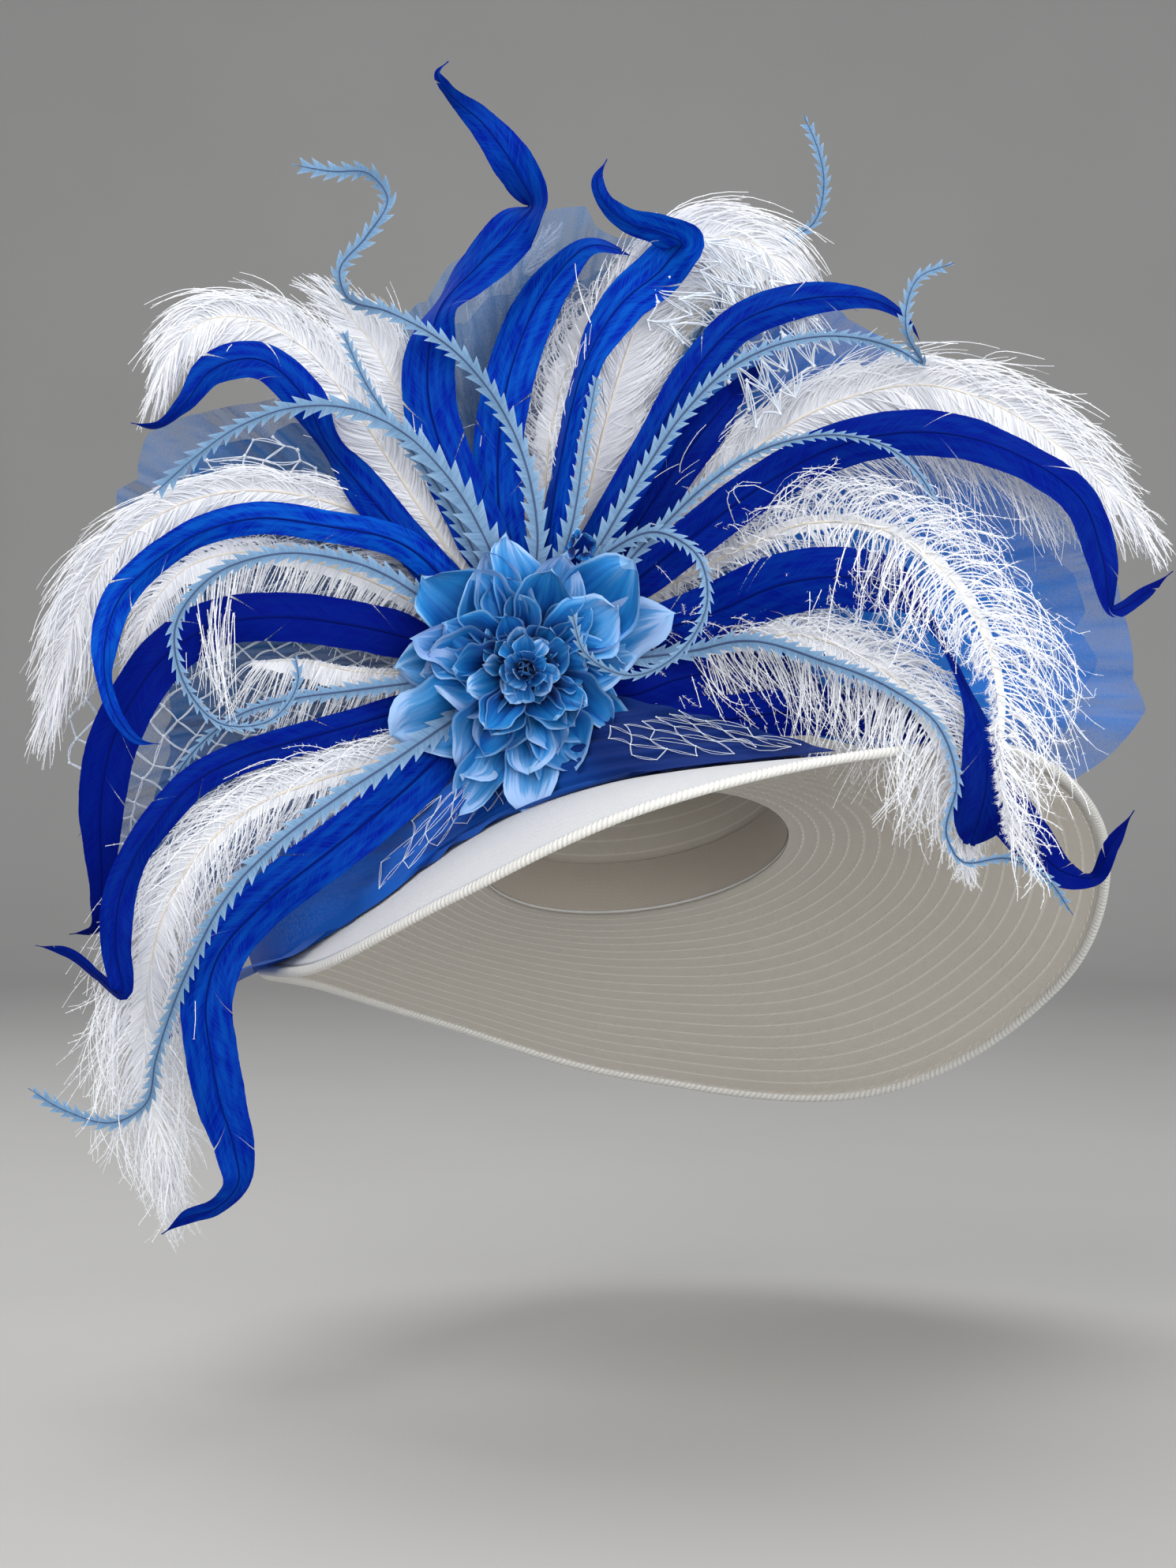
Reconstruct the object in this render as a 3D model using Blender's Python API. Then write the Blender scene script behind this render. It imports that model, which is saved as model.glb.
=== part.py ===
"""A race-day hat as it sits on a head: a wide sewn-straw brim and crown, tipped back,
with a fan of tulle, netting, ostrich plumes and quills that springs from a silk dahlia.

Metres, +Z up, the wearer looks along -Y. The origin is the middle of the head opening.
The trimming is laid out from the front: a point is given by where it is seen, in picture
pixels, and by how far it stands in front of the crown's axis.
"""

import math
from collections import namedtuple

import bmesh
import bpy
import numpy as np
from mathutils import Matrix, Vector

# Driving dimensions, in metres
OPENING_HALF_WIDTH = 0.088
OPENING_HALF_DEPTH = 0.099
CROWN_HEIGHT = 0.112
STRAW = 0.002
BAND_HEIGHT = 0.030
BAND_THICKNESS = 0.001
EDGE_WIDTH = 0.0064
EDGE_THICKNESS = 0.0052
GAP = 0.0003
CLOTH = 0.001
NET_CORD = 0.0012
FLOWER_RADIUS = 0.068
HUB_RADIUS_PIXELS = 50

# How the hat sits on the head
TIPPED_BACK = math.radians(22)
TIPPED_SIDEWAYS = math.radians(6)

# The front view in which the trimming is laid out
PIXEL = 0.00045
EYE_DISTANCE = 1.336
VIEW_MIDDLE = (745, 993.5)
OPENING_SEEN_AT = (805, 1085)
TRIM_CENTRE = (666, 848)

# The brim's outer edge in the hat's own frame: millimetres from the opening's middle, by bearing
EdgeRow = namedtuple("EdgeRow", "bearing reach drop")
BRIM_EDGE = [
    EdgeRow(0, 212, 52),
    EdgeRow(30, 219, 29),
    EdgeRow(60, 232, 9),
    EdgeRow(90, 263, 24),
    EdgeRow(120, 294, 61),
    EdgeRow(150, 306, 84),
    EdgeRow(180, 278, 54),
    EdgeRow(210, 243, 24),
    EdgeRow(240, 216, 24),
    EdgeRow(270, 211, 46),
    EdgeRow(300, 199, 78),
    EdgeRow(330, 196, 72),
]
BRIM_DOME = 1.6
BRIM_SECTORS = 44
BRIM_RINGS = 5

# The crown's side seen in section: share of its height, share of the opening's size
CrownRow = namedtuple("CrownRow", "height size")
CROWN_PROFILE = [
    CrownRow(0.00, 1.00),
    CrownRow(0.45, 0.985),
    CrownRow(0.72, 0.95),
    CrownRow(0.88, 0.86),
    CrownRow(0.97, 0.66),
    CrownRow(1.00, 0.36),
]
CROWN_SIDES = 26

# How far in front of the crown's axis the hub's front stands, in millimetres
HUB_BACK = 20
HUB_FRONT = 98

# A feather's path from the hub outwards. across and down are picture pixels, forward is
# millimetres in front of the crown's axis, and turn twists the blade, in degrees.
Station = namedtuple("Station", "across down forward turn")
Feather = namedtuple("Feather", "width root path")

# Royal-blue goose blades: width in millimetres, millimetres forward at the hub, path
BLADES = {
    "blade_upper_left": Feather(21, 78, [
        (470, 630, 88, 10), (415, 556, 92, 50), (383, 500, 96, 0), (325, 456, 102, -10),
        (268, 468, 108, 20), (232, 512, 112, 40), (195, 540, 114, 60), (166, 536, 114, 20)]),
    "blade_tall": Feather(29, 81, [
        (606, 670, 83, 0), (568, 590, 80, 0), (544, 510, 76, 0), (546, 445, 74, 20),
        (563, 392, 74, 55), (603, 345, 76, 30), (652, 292, 80, 20), (680, 262, 83, 70),
        (660, 222, 86, 40), (610, 155, 87, 0), (566, 112, 88, 50), (554, 92, 88, 30),
        (568, 78, 88, 0)]),
    "blade_crest_left": Feather(27, 76, [
        (632, 640, 74, 0), (634, 540, 68, 0), (658, 440, 64, 10), (697, 362, 66, 15),
        (752, 312, 70, 30), (806, 326, 74, 60)]),
    "blade_crest_right": Feather(26, 84, [
        (704, 650, 84, 60), (722, 550, 81, 60), (748, 456, 78, 50), (790, 385, 77, 20),
        (842, 338, 79, 0), (866, 308, 87, 40), (838, 292, 97, 50), (796, 280, 97, 50),
        (763, 250, 90, 40), (757, 228, 88, 20), (769, 202, 86, 0)]),
    "blade_upper_right": Feather(20, 84, [
        (762, 674, 88, 20), (828, 562, 88, 10), (884, 465, 88, 0), (937, 410, 89, 0),
        (1000, 384, 92, 0), (1064, 376, 96, 0), (1121, 386, 100, 20), (1153, 410, 101, 50),
        (1168, 438, 100, 60)]),
    "blade_short_right": Feather(24, 75, [
        (798, 680, 76, 0), (862, 585, 76, 0), (917, 515, 75, 0), (968, 458, 72, 10)]),
    "blade_arch_right": Feather(24, 80, [
        (866, 690, 94, 10), (966, 616, 107, 0), (1060, 566, 117, 0), (1171, 548, 127, 0),
        (1290, 580, 136, 30), (1372, 640, 142, 20), (1397, 710, 145, 0), (1411, 775, 146, 50),
        (1450, 752, 143, 20), (1486, 724, 140, 0)]),
    "blade_over_brim": Feather(26, 78, [
        (900, 778, 100, 0), (994, 740, 122, 0), (1075, 732, 137, 0), (1140, 752, 145, 10),
        (1182, 795, 156, 50), (1212, 850, 171, 50), (1238, 915, 189, 20), (1250, 980, 202, 0),
        (1240, 1036, 206, 0), (1228, 1068, 203, 20)]),
    "blade_on_brim": Feather(25, 80, [
        (900, 912, 98, 0), (1000, 902, 116, 0), (1100, 905, 140, 10), (1176, 920, 166, 30),
        (1217, 955, 167, 50), (1262, 1008, 167, 20), (1304, 1062, 162, 0),
        (1352, 1108, 153, 20), (1386, 1114, 149, 60), (1408, 1072, 152, 20),
        (1437, 1027, 150, 0)]),
    "blade_arch_left": Feather(17, 82, [
        (500, 685, 94, 0), (415, 667, 105, 0), (319, 657, 115, 10), (253, 674, 123, 30),
        (191, 714, 131, 40), (151, 757, 138, 30), (133, 812, 144, 20), (132, 862, 148, 50),
        (148, 908, 150, 20), (178, 940, 146, 20), (203, 943, 140, 0)]),
    "blade_left": Feather(26, 80, [
        (446, 792, 92, 0), (360, 782, 102, 0), (274, 790, 112, 20), (212, 828, 120, 10),
        (170, 884, 123, 0), (142, 945, 122, 0), (129, 1012, 118, 0), (128, 1080, 112, 0),
        (128, 1135, 107, 10), (119, 1178, 102, 50), (88, 1184, 96, 20)]),
    "blade_lower_left": Feather(17, 82, [
        (446, 919, 98, 0), (360, 943, 112, 0), (306, 960, 120, 0), (253, 986, 127, 10),
        (203, 1036, 133, 20), (167, 1090, 137, 40), (150, 1142, 139, 20), (147, 1200, 139, 0),
        (152, 1258, 135, 40), (124, 1236, 129, 50), (88, 1208, 122, 10), (45, 1198, 116, 0)]),
    "blade_hanging": Feather(27, 83, [
        (505, 1008, 104, 0), (432, 1068, 118, 0), (378, 1108, 125, 10), (322, 1155, 129, 20),
        (280, 1205, 131, 10), (262, 1268, 131, 0), (268, 1335, 129, 0), (281, 1400, 127, 0),
        (297, 1455, 125, 10), (299, 1502, 122, 40), (272, 1530, 118, 30), (240, 1541, 114, 10),
        (205, 1564, 110, 0)]),
}

# White ostrich plumes, with the width across the locks
PLUMES = {
    "plume_upper_left": Feather(44, 70, [
        (520, 625, 77, 0), (445, 512, 80, 0), (385, 440, 81, 0), (320, 404, 87, 0),
        (256, 408, 95, 0), (216, 448, 101, 0), (202, 486, 102, 0)]),
    "plume_behind_left": Feather(50, 63, [
        (560, 610, 62, 0), (502, 490, 60, 0), (460, 420, 62, 0), (420, 378, 66, 0)]),
    "plume_behind_tulle": Feather(40, 42, [
        (620, 600, 34, 0), (618, 480, 28, 0), (642, 380, 26, 0), (684, 312, 28, 0)]),
    "plume_crest": Feather(48, 60, [
        (688, 660, 57, 0), (698, 545, 54, 0), (732, 435, 50, 0), (782, 352, 50, 0)]),
    "plume_top": Feather(58, 71, [
        (740, 650, 70, 0), (766, 540, 68, 0), (796, 440, 66, 0), (832, 350, 66, 0),
        (880, 306, 68, 0), (935, 302, 72, 0), (982, 328, 79, 0), (1008, 372, 82, 0)]),
    "plume_arch_right": Feather(56, 62, [
        (850, 688, 65, 0), (905, 618, 68, 0), (965, 562, 71, 0), (1030, 522, 77, 0),
        (1095, 498, 85, 0), (1170, 488, 95, 0), (1250, 508, 105, 0), (1330, 556, 113, 0),
        (1400, 614, 120, 0), (1448, 664, 124, 0)]),
    "plume_over_brim": Feather(46, 67, [
        (925, 702, 86, 0), (1020, 664, 110, 0), (1110, 668, 136, 0), (1188, 716, 168, 0),
        (1238, 786, 195, 0), (1262, 868, 210, 0), (1266, 945, 218, 0), (1270, 1010, 222, 0),
        (1282, 1066, 221, 0)]),
    "plume_on_brim": Feather(44, 74, [
        (920, 812, 99, 0), (1020, 806, 120, 0), (1104, 840, 143, 0), (1166, 890, 170, 0),
        (1200, 950, 184, 0), (1212, 1022, 189, 0), (1226, 1098, 191, 0)]),
    "plume_arch_left": Feather(34, 67, [
        (450, 728, 84, 0), (370, 706, 94, 0), (300, 700, 102, 0), (236, 720, 107, 0),
        (192, 768, 109, 0), (168, 832, 108, 0)]),
    "plume_far_left": Feather(40, 61, [
        (480, 662, 72, 0), (400, 632, 82, 0), (310, 622, 90, 0), (222, 642, 96, 0),
        (152, 690, 100, 0), (108, 752, 102, 0), (84, 822, 102, 0), (66, 888, 100, 0)]),
    "plume_short_left": Feather(36, 68, [
        (448, 850, 84, 0), (380, 838, 90, 0), (322, 838, 93, 0)]),
    "plume_hanging": Feather(52, 70, [
        (485, 962, 95, 0), (400, 990, 107, 0), (322, 1022, 115, 0), (255, 1078, 119, 0),
        (209, 1155, 117, 0), (189, 1240, 113, 0), (184, 1330, 107, 0), (197, 1420, 103, 0),
        (215, 1500, 99, 0)]),
}

# Pale-blue quills with saw-cut edges
QUILLS = {
    "quill_wavy": Feather(15, 93, [
        (680, 660, 97, 0), (652, 550, 95, 0), (606, 476, 94, 20), (568, 438, 94, 0),
        (492, 395, 94, 0), (438, 374, 94, 40), (430, 345, 94, 0), (464, 300, 94, 0),
        (491, 250, 94, 20), (468, 220, 94, 40), (420, 217, 94, 0), (371, 209, 94, 0)]),
    "quill_broad": Feather(21, 96, [
        (618, 690, 104, 0), (560, 595, 110, 0), (508, 546, 112, 0), (450, 519, 114, 0),
        (368, 517, 117, 10), (300, 542, 120, 10), (246, 580, 122, 20), (195, 626, 122, 0)]),
    "quill_short_left": Feather(15, 88, [
        (570, 640, 94, 0), (505, 548, 99, 0), (465, 488, 100, 0), (434, 420, 100, 0)]),
    "quill_loop_left": Feather(14, 94, [
        (446, 712, 109, 0), (351, 702, 121, 0), (265, 733, 131, 20), (223, 791, 135, 20),
        (232, 862, 135, 10), (280, 917, 131, 20), (344, 912, 129, 20), (378, 860, 127, 0),
        (373, 828, 126, 0)]),
    "quill_left": Feather(13, 92, [
        (446, 875, 104, 0), (370, 886, 111, 0), (303, 906, 116, 0), (242, 956, 117, 0),
        (212, 1004, 115, 0), (196, 1042, 112, 0)]),
    "quill_hanging": Feather(16, 94, [
        (500, 963, 115, 0), (420, 1016, 132, 0), (352, 1068, 142, 0), (292, 1130, 146, 0),
        (246, 1212, 142, 10), (214, 1290, 130, 0), (197, 1345, 123, 0), (185, 1398, 116, 20),
        (150, 1421, 113, 0), (76, 1404, 110, 0), (36, 1379, 108, 0)]),
    "quill_upright": Feather(17, 95, [
        (728, 650, 100, 0), (740, 567, 98, 0), (756, 478, 93, 10)]),
    "quill_kinked": Feather(14, 91, [
        (770, 674, 99, 0), (818, 594, 100, 0), (866, 524, 100, 0), (920, 470, 100, 0),
        (985, 437, 101, 0), (1064, 426, 105, 0), (1140, 444, 110, 0), (1170, 462, 113, 60),
        (1150, 425, 115, 40), (1148, 392, 115, 0), (1162, 354, 115, 10), (1209, 333, 113, 0)]),
    "quill_crown_right": Feather(12, 52, [
        (780, 620, 46, 0), (862, 460, 42, 0), (940, 350, 42, 0), (990, 306, 44, 0),
        (1030, 284, 46, 20), (1044, 234, 48, 10), (1036, 188, 50, 0), (1018, 146, 50, 0)]),
    "quill_arch_right": Feather(11, 96, [
        (838, 668, 108, 0), (892, 617, 114, 0), (950, 577, 120, 0), (1006, 557, 127, 0),
        (1070, 552, 134, 0), (1130, 570, 140, 20), (1172, 612, 143, 10), (1196, 672, 147, 0)]),
    "quill_curl": Feather(12, 93, [
        (772, 698, 104, 0), (832, 674, 116, 0), (885, 706, 130, 20), (896, 760, 142, 20),
        (862, 826, 152, 20), (800, 856, 158, 20), (742, 828, 160, 20), (724, 772, 160, 0)]),
    "quill_lower_right": Feather(13, 93, [
        (880, 824, 108, 0), (940, 812, 122, 0), (1050, 840, 150, 0), (1124, 870, 172, 10),
        (1190, 922, 195, 10), (1212, 990, 209, 10), (1200, 1062, 215, 30),
        (1216, 1090, 215, 50), (1278, 1088, 209, 10), (1325, 1112, 200, 0),
        (1359, 1159, 189, 0)]),
}

# Cloth and net fans that spread from the hub. angle is seen from the front, anticlockwise
# from the right in degrees; reach is in picture pixels from the hub's middle.
FanRow = namedtuple("FanRow", "angle reach forward bulge")
Fan = namedtuple("Fan", "root rows")
TULLE_FANS = {
    "tulle_right": Fan(58, [
        FanRow(-13, 700, 30, 30), FanRow(-2, 790, 40, 25), FanRow(8, 778, 50, 17),
        FanRow(17, 738, 57, 6), FanRow(28, 650, 56, 0), FanRow(44, 620, 50, 0),
        FanRow(58, 618, 46, 0)]),
    "tulle_top": Fan(50, [
        FanRow(74, 582, 40, 0), FanRow(88, 574, 41, 0), FanRow(98, 530, 42, 0),
        FanRow(106, 478, 43, 0), FanRow(120, 420, 44, 0)]),
    "tulle_left": Fan(50, [
        FanRow(130, 460, 52, 0), FanRow(144, 552, 62, 0), FanRow(158, 562, 70, 0),
        FanRow(172, 500, 74, 0), FanRow(188, 520, 76, 0), FanRow(204, 600, 80, 0),
        FanRow(216, 600, 88, 0)]),
}
NET_FANS = {
    "net_right": Fan(60.5, [
        FanRow(-3, 470, 90, 14), FanRow(9, 500, 86, 11), FanRow(20, 480, 76, 4),
        FanRow(30, 430, 60, 0)]),
    "net_top": Fan(60, [
        FanRow(50, 590, 56, 0), FanRow(58, 620, 54, 0), FanRow(66, 600, 52, 0)]),
    "net_left": Fan(58, [
        FanRow(164, 520, 84, 0), FanRow(178, 560, 86, 0), FanRow(192, 590, 90, 0),
        FanRow(205, 560, 92, 0)]),
}
RUFFLE_DEPTH = 0.011
TULLE_PLEATS = 12
NET_ROWS = 5
NET_DIAMOND = 8.5

# The dahlia's rings of petals, outermost first. Lengths in millimetres.
PetalRing = namedtuple("PetalRing", "petals reach width root_height tip_height cup first")
DAHLIA = [
    PetalRing(9, 68, 40, 0.4, 12, 5, 8),
    PetalRing(8, 60, 36, 1.9, 21, 6, 30),
    PetalRing(8, 47, 27, 3.4, 29, 5, 5),
    PetalRing(7, 34, 21, 4.9, 34, 4, 20),
    PetalRing(6, 22, 15, 6.4, 38, 3, 50),
]
PETAL_THICKNESS = 0.0012
PETAL_WIDEST = 0.62

# The tulle wrapped round the crown's foot. Its pleats follow the brim's own sectors, counted
# from the front. At the wearer's right it runs out over the brim's edge and hangs.
WRAP_SECTORS = range(-12, 9)
HANGING_SECTORS = range(-12, -8)
WRAP_UP_CROWN = 0.030
WRAP_RINGS = (1, 2, 3)
WrapRow = namedtuple("WrapRow", "share out lift")
HANGING_ROWS = [
    WrapRow(0.8, 0, 3),
    WrapRow(1.0, 0, 7),
    WrapRow(1.0, 13, 1),
    WrapRow(1.0, 46, -26),
]


def material(name, colour, roughness):
    """A plain surface with the part's colour."""
    made = bpy.data.materials.new(name)
    made.use_nodes = True
    shader = made.node_tree.nodes["Principled BSDF"]
    shader.inputs["Base Color"].default_value = (*colour, 1)
    shader.inputs["Roughness"].default_value = roughness
    return made


def node_from(name, points, faces, finish, smooth_below=40):
    """One closed named object from points and faces, its faces turned outwards."""
    mesh = bpy.data.meshes.new(name)
    mesh.from_pydata([tuple(p) for p in points], [], faces)
    shape = bmesh.new()
    shape.from_mesh(mesh)
    bmesh.ops.recalc_face_normals(shape, faces=shape.faces)
    shape.to_mesh(mesh)
    shape.free()
    mesh.shade_smooth()
    mesh.set_sharp_from_angle(angle=math.radians(smooth_below))
    mesh.materials.append(finish)
    made = bpy.data.objects.new(name, mesh)
    bpy.context.scene.collection.objects.link(made)
    return made


def thicken(made, thickness):
    """Gives a sheet its thickness, half to each side."""
    wall = made.modifiers.new("wall", "SOLIDIFY")
    wall.thickness = thickness
    wall.offset = 0


def smoothstep(x):
    x = min(max(x, 0.0), 1.0)
    return x * x * (3 - 2 * x)


def worn():
    """The matrix that tips the hat's own frame to how it sits on the head."""
    return Matrix.Rotation(-TIPPED_BACK, 4, "X") @ Matrix.Rotation(-TIPPED_SIDEWAYS, 4, "Y")


def seen_at(across, down, forward_mm):
    """The point seen at a picture pixel, so many millimetres in front of the crown's axis."""
    eye = Vector((
        (VIEW_MIDDLE[0] - OPENING_SEEN_AT[0]) * PIXEL,
        -EYE_DISTANCE,
        (OPENING_SEEN_AT[1] - VIEW_MIDDLE[1]) * PIXEL,
    ))
    on_axis_plane = Vector((
        (across - OPENING_SEEN_AT[0]) * PIXEL,
        0,
        (OPENING_SEEN_AT[1] - down) * PIXEL,
    ))
    return eye + (on_axis_plane - eye) * (1 - forward_mm / 1000 / EYE_DISTANCE)


def hermite(at, keys, values):
    """Values on a smooth curve through rows of keys and values, at the given keys."""
    keys = np.asarray(keys, float)
    values = np.asarray(values, float)
    slopes = np.gradient(values, keys, axis=0)
    made = []
    for x in at:
        i = int(min(max(np.searchsorted(keys, x) - 1, 0), len(keys) - 2))
        span = keys[i + 1] - keys[i]
        t = (x - keys[i]) / span
        made.append(
            (2 * t**3 - 3 * t**2 + 1) * values[i]
            + (t**3 - 2 * t**2 + t) * span * slopes[i]
            + (3 * t**2 - 2 * t**3) * values[i + 1]
            + (t**3 - t**2) * span * slopes[i + 1]
        )
    return np.array(made)


def rows_along(rows, count):
    """A path's stations taken at even steps of its length."""
    rows = np.asarray(rows, float)
    steps = np.hypot(*np.diff(rows[:, :2], axis=0).T)
    keys = np.concatenate([[0], np.cumsum(steps)])
    return hermite(np.linspace(0, keys[-1], count), keys, rows)


def feather_frames(feather, count):
    """Centre, sideways and facing directions, and share of length, along a feather."""
    first = Station(*feather.path[0])
    away = Vector((first.across - TRIM_CENTRE[0], first.down - TRIM_CENTRE[1])).normalized()
    start = Vector(TRIM_CENTRE) + away * HUB_RADIUS_PIXELS
    rows = [(start.x, start.y, feather.root, 0), *feather.path]
    stations = rows_along(rows, count)
    centres = [seen_at(*row[:3]) for row in stations]
    centres[0] += (centres[1] - centres[0]).normalized() * GAP * 1.5
    frames = []
    for i, centre in enumerate(centres):
        tangent = (centres[min(i + 1, count - 1)] - centres[max(i - 1, 0)]).normalized()
        sideways = tangent.cross(Vector((0, -1, 0))).normalized()
        facing = sideways.cross(tangent)
        turn = math.radians(stations[i][3])
        turned = sideways * math.cos(turn) + facing * math.sin(turn)
        frames.append((centre, tangent, turned, turned.cross(tangent), i / (count - 1)))
    return frames


def skin(rings):
    """Points and faces of a closed skin over rings that all have the same count."""
    size = len(rings[0])
    points = [p for ring in rings for p in ring]
    faces = [
        (a + j, a + (j + 1) % size, a + size + (j + 1) % size, a + size + j)
        for a in range(0, size * (len(rings) - 1), size)
        for j in range(size)
    ]
    last = size * (len(rings) - 1)
    faces.append(tuple(range(size)))
    faces.append(tuple(range(last, last + size)))
    return points, faces


def feather_skin(rings):
    """As skin, over the four-point rings of blade_ring. Each wall is split from its thin edge
    to the next ring's shaft, the same way in front and behind, so a twist can't cross them."""
    points, quads = skin(rings)
    faces = quads[-2:]
    for number, (a, b, c, d) in enumerate(quads[:-2]):
        faces += [(a, b, c), (a, c, d)] if number % 2 == 0 else [(a, b, d), (b, c, d)]
    return points, faces


def blade_ring(frame, half_width, keel, thickness):
    """A feather's section: two thin edges and a raised shaft in front and behind."""
    centre, _, sideways, facing, _ = frame
    return [
        centre + sideways * half_width,
        centre + facing * (keel + thickness / 2),
        centre - sideways * half_width,
        centre + facing * (keel - thickness / 2),
    ]


def blade_spread(t):
    """A goose blade's width along its length, as a share of the widest."""
    grown = smoothstep(t / 0.16)
    faded = smoothstep((1 - t) / 0.30)
    return max(0.10, grown * (0.25 + 0.75 * faded))


def make_blades(finish):
    for name, feather in BLADES.items():
        half = feather.width / 2000
        rings = []
        for frame in feather_frames(feather, 12 if len(feather.path) < 9 else 14):
            spread = half * blade_spread(frame[4])
            rings.append(blade_ring(frame, spread, 0.14 * spread, 0.0016))
        node_from(name, *feather_skin(rings), finish)


def quill_spread(t):
    """A cut quill's width along its length, as a share of the widest."""
    return max(0.16, smoothstep(t / 0.08) * (1 - t) ** 0.75)


def make_quills(finish):
    """Each tooth is two sections: its point, and the cut back to the shaft just after it."""
    teeth = 8
    cut_depth = 0.42
    for name, feather in QUILLS.items():
        half = feather.width / 2000
        frames = feather_frames(feather, 4 * teeth + 1)
        rings = []
        for i, frame in enumerate(frames):
            if i % 4 not in (0, 3) and i != len(frames) - 1:
                continue
            spread = half * quill_spread(frame[4])
            if i % 4 == 0:
                spread *= cut_depth
            rings.append(blade_ring(frame, max(spread, 0.001), 0, 0.0014))
        node_from(name, *feather_skin(rings), finish)


def plume_spread(t):
    """How far a plume's locks reach along its length, as a share of the furthest."""
    return max(0.12, smoothstep(t / 0.22) * (0.55 + 0.45 * smoothstep((1 - t) / 0.35)))


def lock_reach(frames, i, side, wanted):
    """A lock's reach, held short on the inside of a bend so that locks don't cross."""
    reach = wanted
    for j in (i, min(i + 1, len(frames) - 2)):
        before, here, after = frames[j - 1][0], frames[j][0], frames[j + 1][0]
        bend = (after - here).normalized() - (here - before).normalized()
        inward = bend.dot(frames[j][2] * side)
        if inward > 0.02:
            reach = min(reach, 0.4 * (after - before).length / 2 / inward)
    return reach


def make_plumes(finish):
    """A thin backing along the shaft, with a row of pointed locks fused to each side."""
    backing_half = 0.0022
    backing_thickness = 0.0022
    for name, feather in PLUMES.items():
        locks = 9 if len(feather.path) > 4 else 7
        frames = feather_frames(feather, locks + 2)
        points, faces = [], []
        for centre, _, sideways, facing, _ in frames:
            for across, front in ((1, 1), (-1, 1), (-1, -1), (1, -1)):
                points.append(
                    centre
                    + sideways * backing_half * across
                    + facing * backing_thickness / 2 * front
                )
        last = 4 * (len(frames) - 1)
        faces.append((0, 1, 2, 3))
        faces.append((last, last + 1, last + 2, last + 3))
        for i in range(len(frames) - 1):
            a, b = 4 * i, 4 * (i + 1)
            faces.append((a, a + 1, b + 1, b))
            faces.append((a + 2, a + 3, b + 3, b + 2))
            for side, front, back in ((1, 0, 3), (-1, 1, 2)):
                root = (a + front, b + front, b + back, a + back)
                if i == 0:
                    faces.append(root)
                    continue
                add_lock(points, faces, root, frames, i, side, feather.width / 2000)
        node_from(name, points, faces, finish)


def add_lock(points, faces, root, frames, i, side, widest):
    """One lock: a tongue that grows from a side of the backing and bends to the tip."""
    t = (frames[i][4] + frames[i + 1][4]) / 2
    reach = lock_reach(frames, i, side, widest * plume_spread(t))
    _, tangent, sideways, facing, _ = frames[i]
    out = (sideways * side * 0.86 + tangent * 0.5).normalized()
    droop = Vector((0, 0, -0.25)) - facing * 0.1
    middle = sum((points[j] for j in root), Vector()) / 4
    first = len(points)
    for j in root:
        narrowed = middle + (points[j] - middle) * 0.7
        points.append(narrowed + (out + droop * 0.2) * reach * 0.55)
    points.append(middle + (out + tangent * 0.25 + droop * 0.7).normalized() * reach)
    tip = first + 4
    for k in range(4):
        n = (k + 1) % 4
        faces.append((root[k], root[n], first + n, first + k))
        faces.append((first + k, first + n, tip))


def brim_edge(bearing):
    """Reach and drop of the brim's outer edge at a bearing, in metres."""
    rows = BRIM_EDGE[-2:] + BRIM_EDGE + BRIM_EDGE[:3]
    keys = [r.bearing - 360 for r in rows[:2]] + [r.bearing for r in BRIM_EDGE]
    keys += [r.bearing + 360 for r in rows[-3:]]
    values = [(r.reach, r.drop) for r in rows]
    return hermite([bearing % 360], keys, values)[0] / 1000


def brim_point(bearing, share, lift=0.0):
    """A point of the brim in the hat's own frame, share 0 at the opening and 1 at the edge."""
    angle = math.radians(bearing)
    out = Vector((math.sin(angle), -math.cos(angle), 0))
    opening = 1 / math.hypot(out.x / OPENING_HALF_WIDTH, out.y / OPENING_HALF_DEPTH)
    reach, drop = brim_edge(bearing)
    distance = opening + (reach - opening) * share
    return out * distance + Vector((0, 0, lift - drop * share**BRIM_DOME))


def make_brim(finish):
    points, faces = [], []
    bearings = [360 * i / BRIM_SECTORS for i in range(BRIM_SECTORS)]
    for lift in (0.0, STRAW):
        for k in range(BRIM_RINGS + 1):
            points += [worn() @ brim_point(b, k / BRIM_RINGS, lift) for b in bearings]
    n, layer = BRIM_SECTORS, BRIM_SECTORS * (BRIM_RINGS + 1)
    for j in range(n):
        m = (j + 1) % n
        for k in range(BRIM_RINGS):
            under = (k * n + j, k * n + m, (k + 1) * n + m, (k + 1) * n + j)
            faces.append(under)
            faces.append(tuple(v + layer for v in under))
        faces.append((j, m, m + layer, j + layer))
        outer = BRIM_RINGS * n
        faces.append((outer + j, outer + m, outer + m + layer, outer + j + layer))
    node_from("brim", points, faces, finish)


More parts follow.
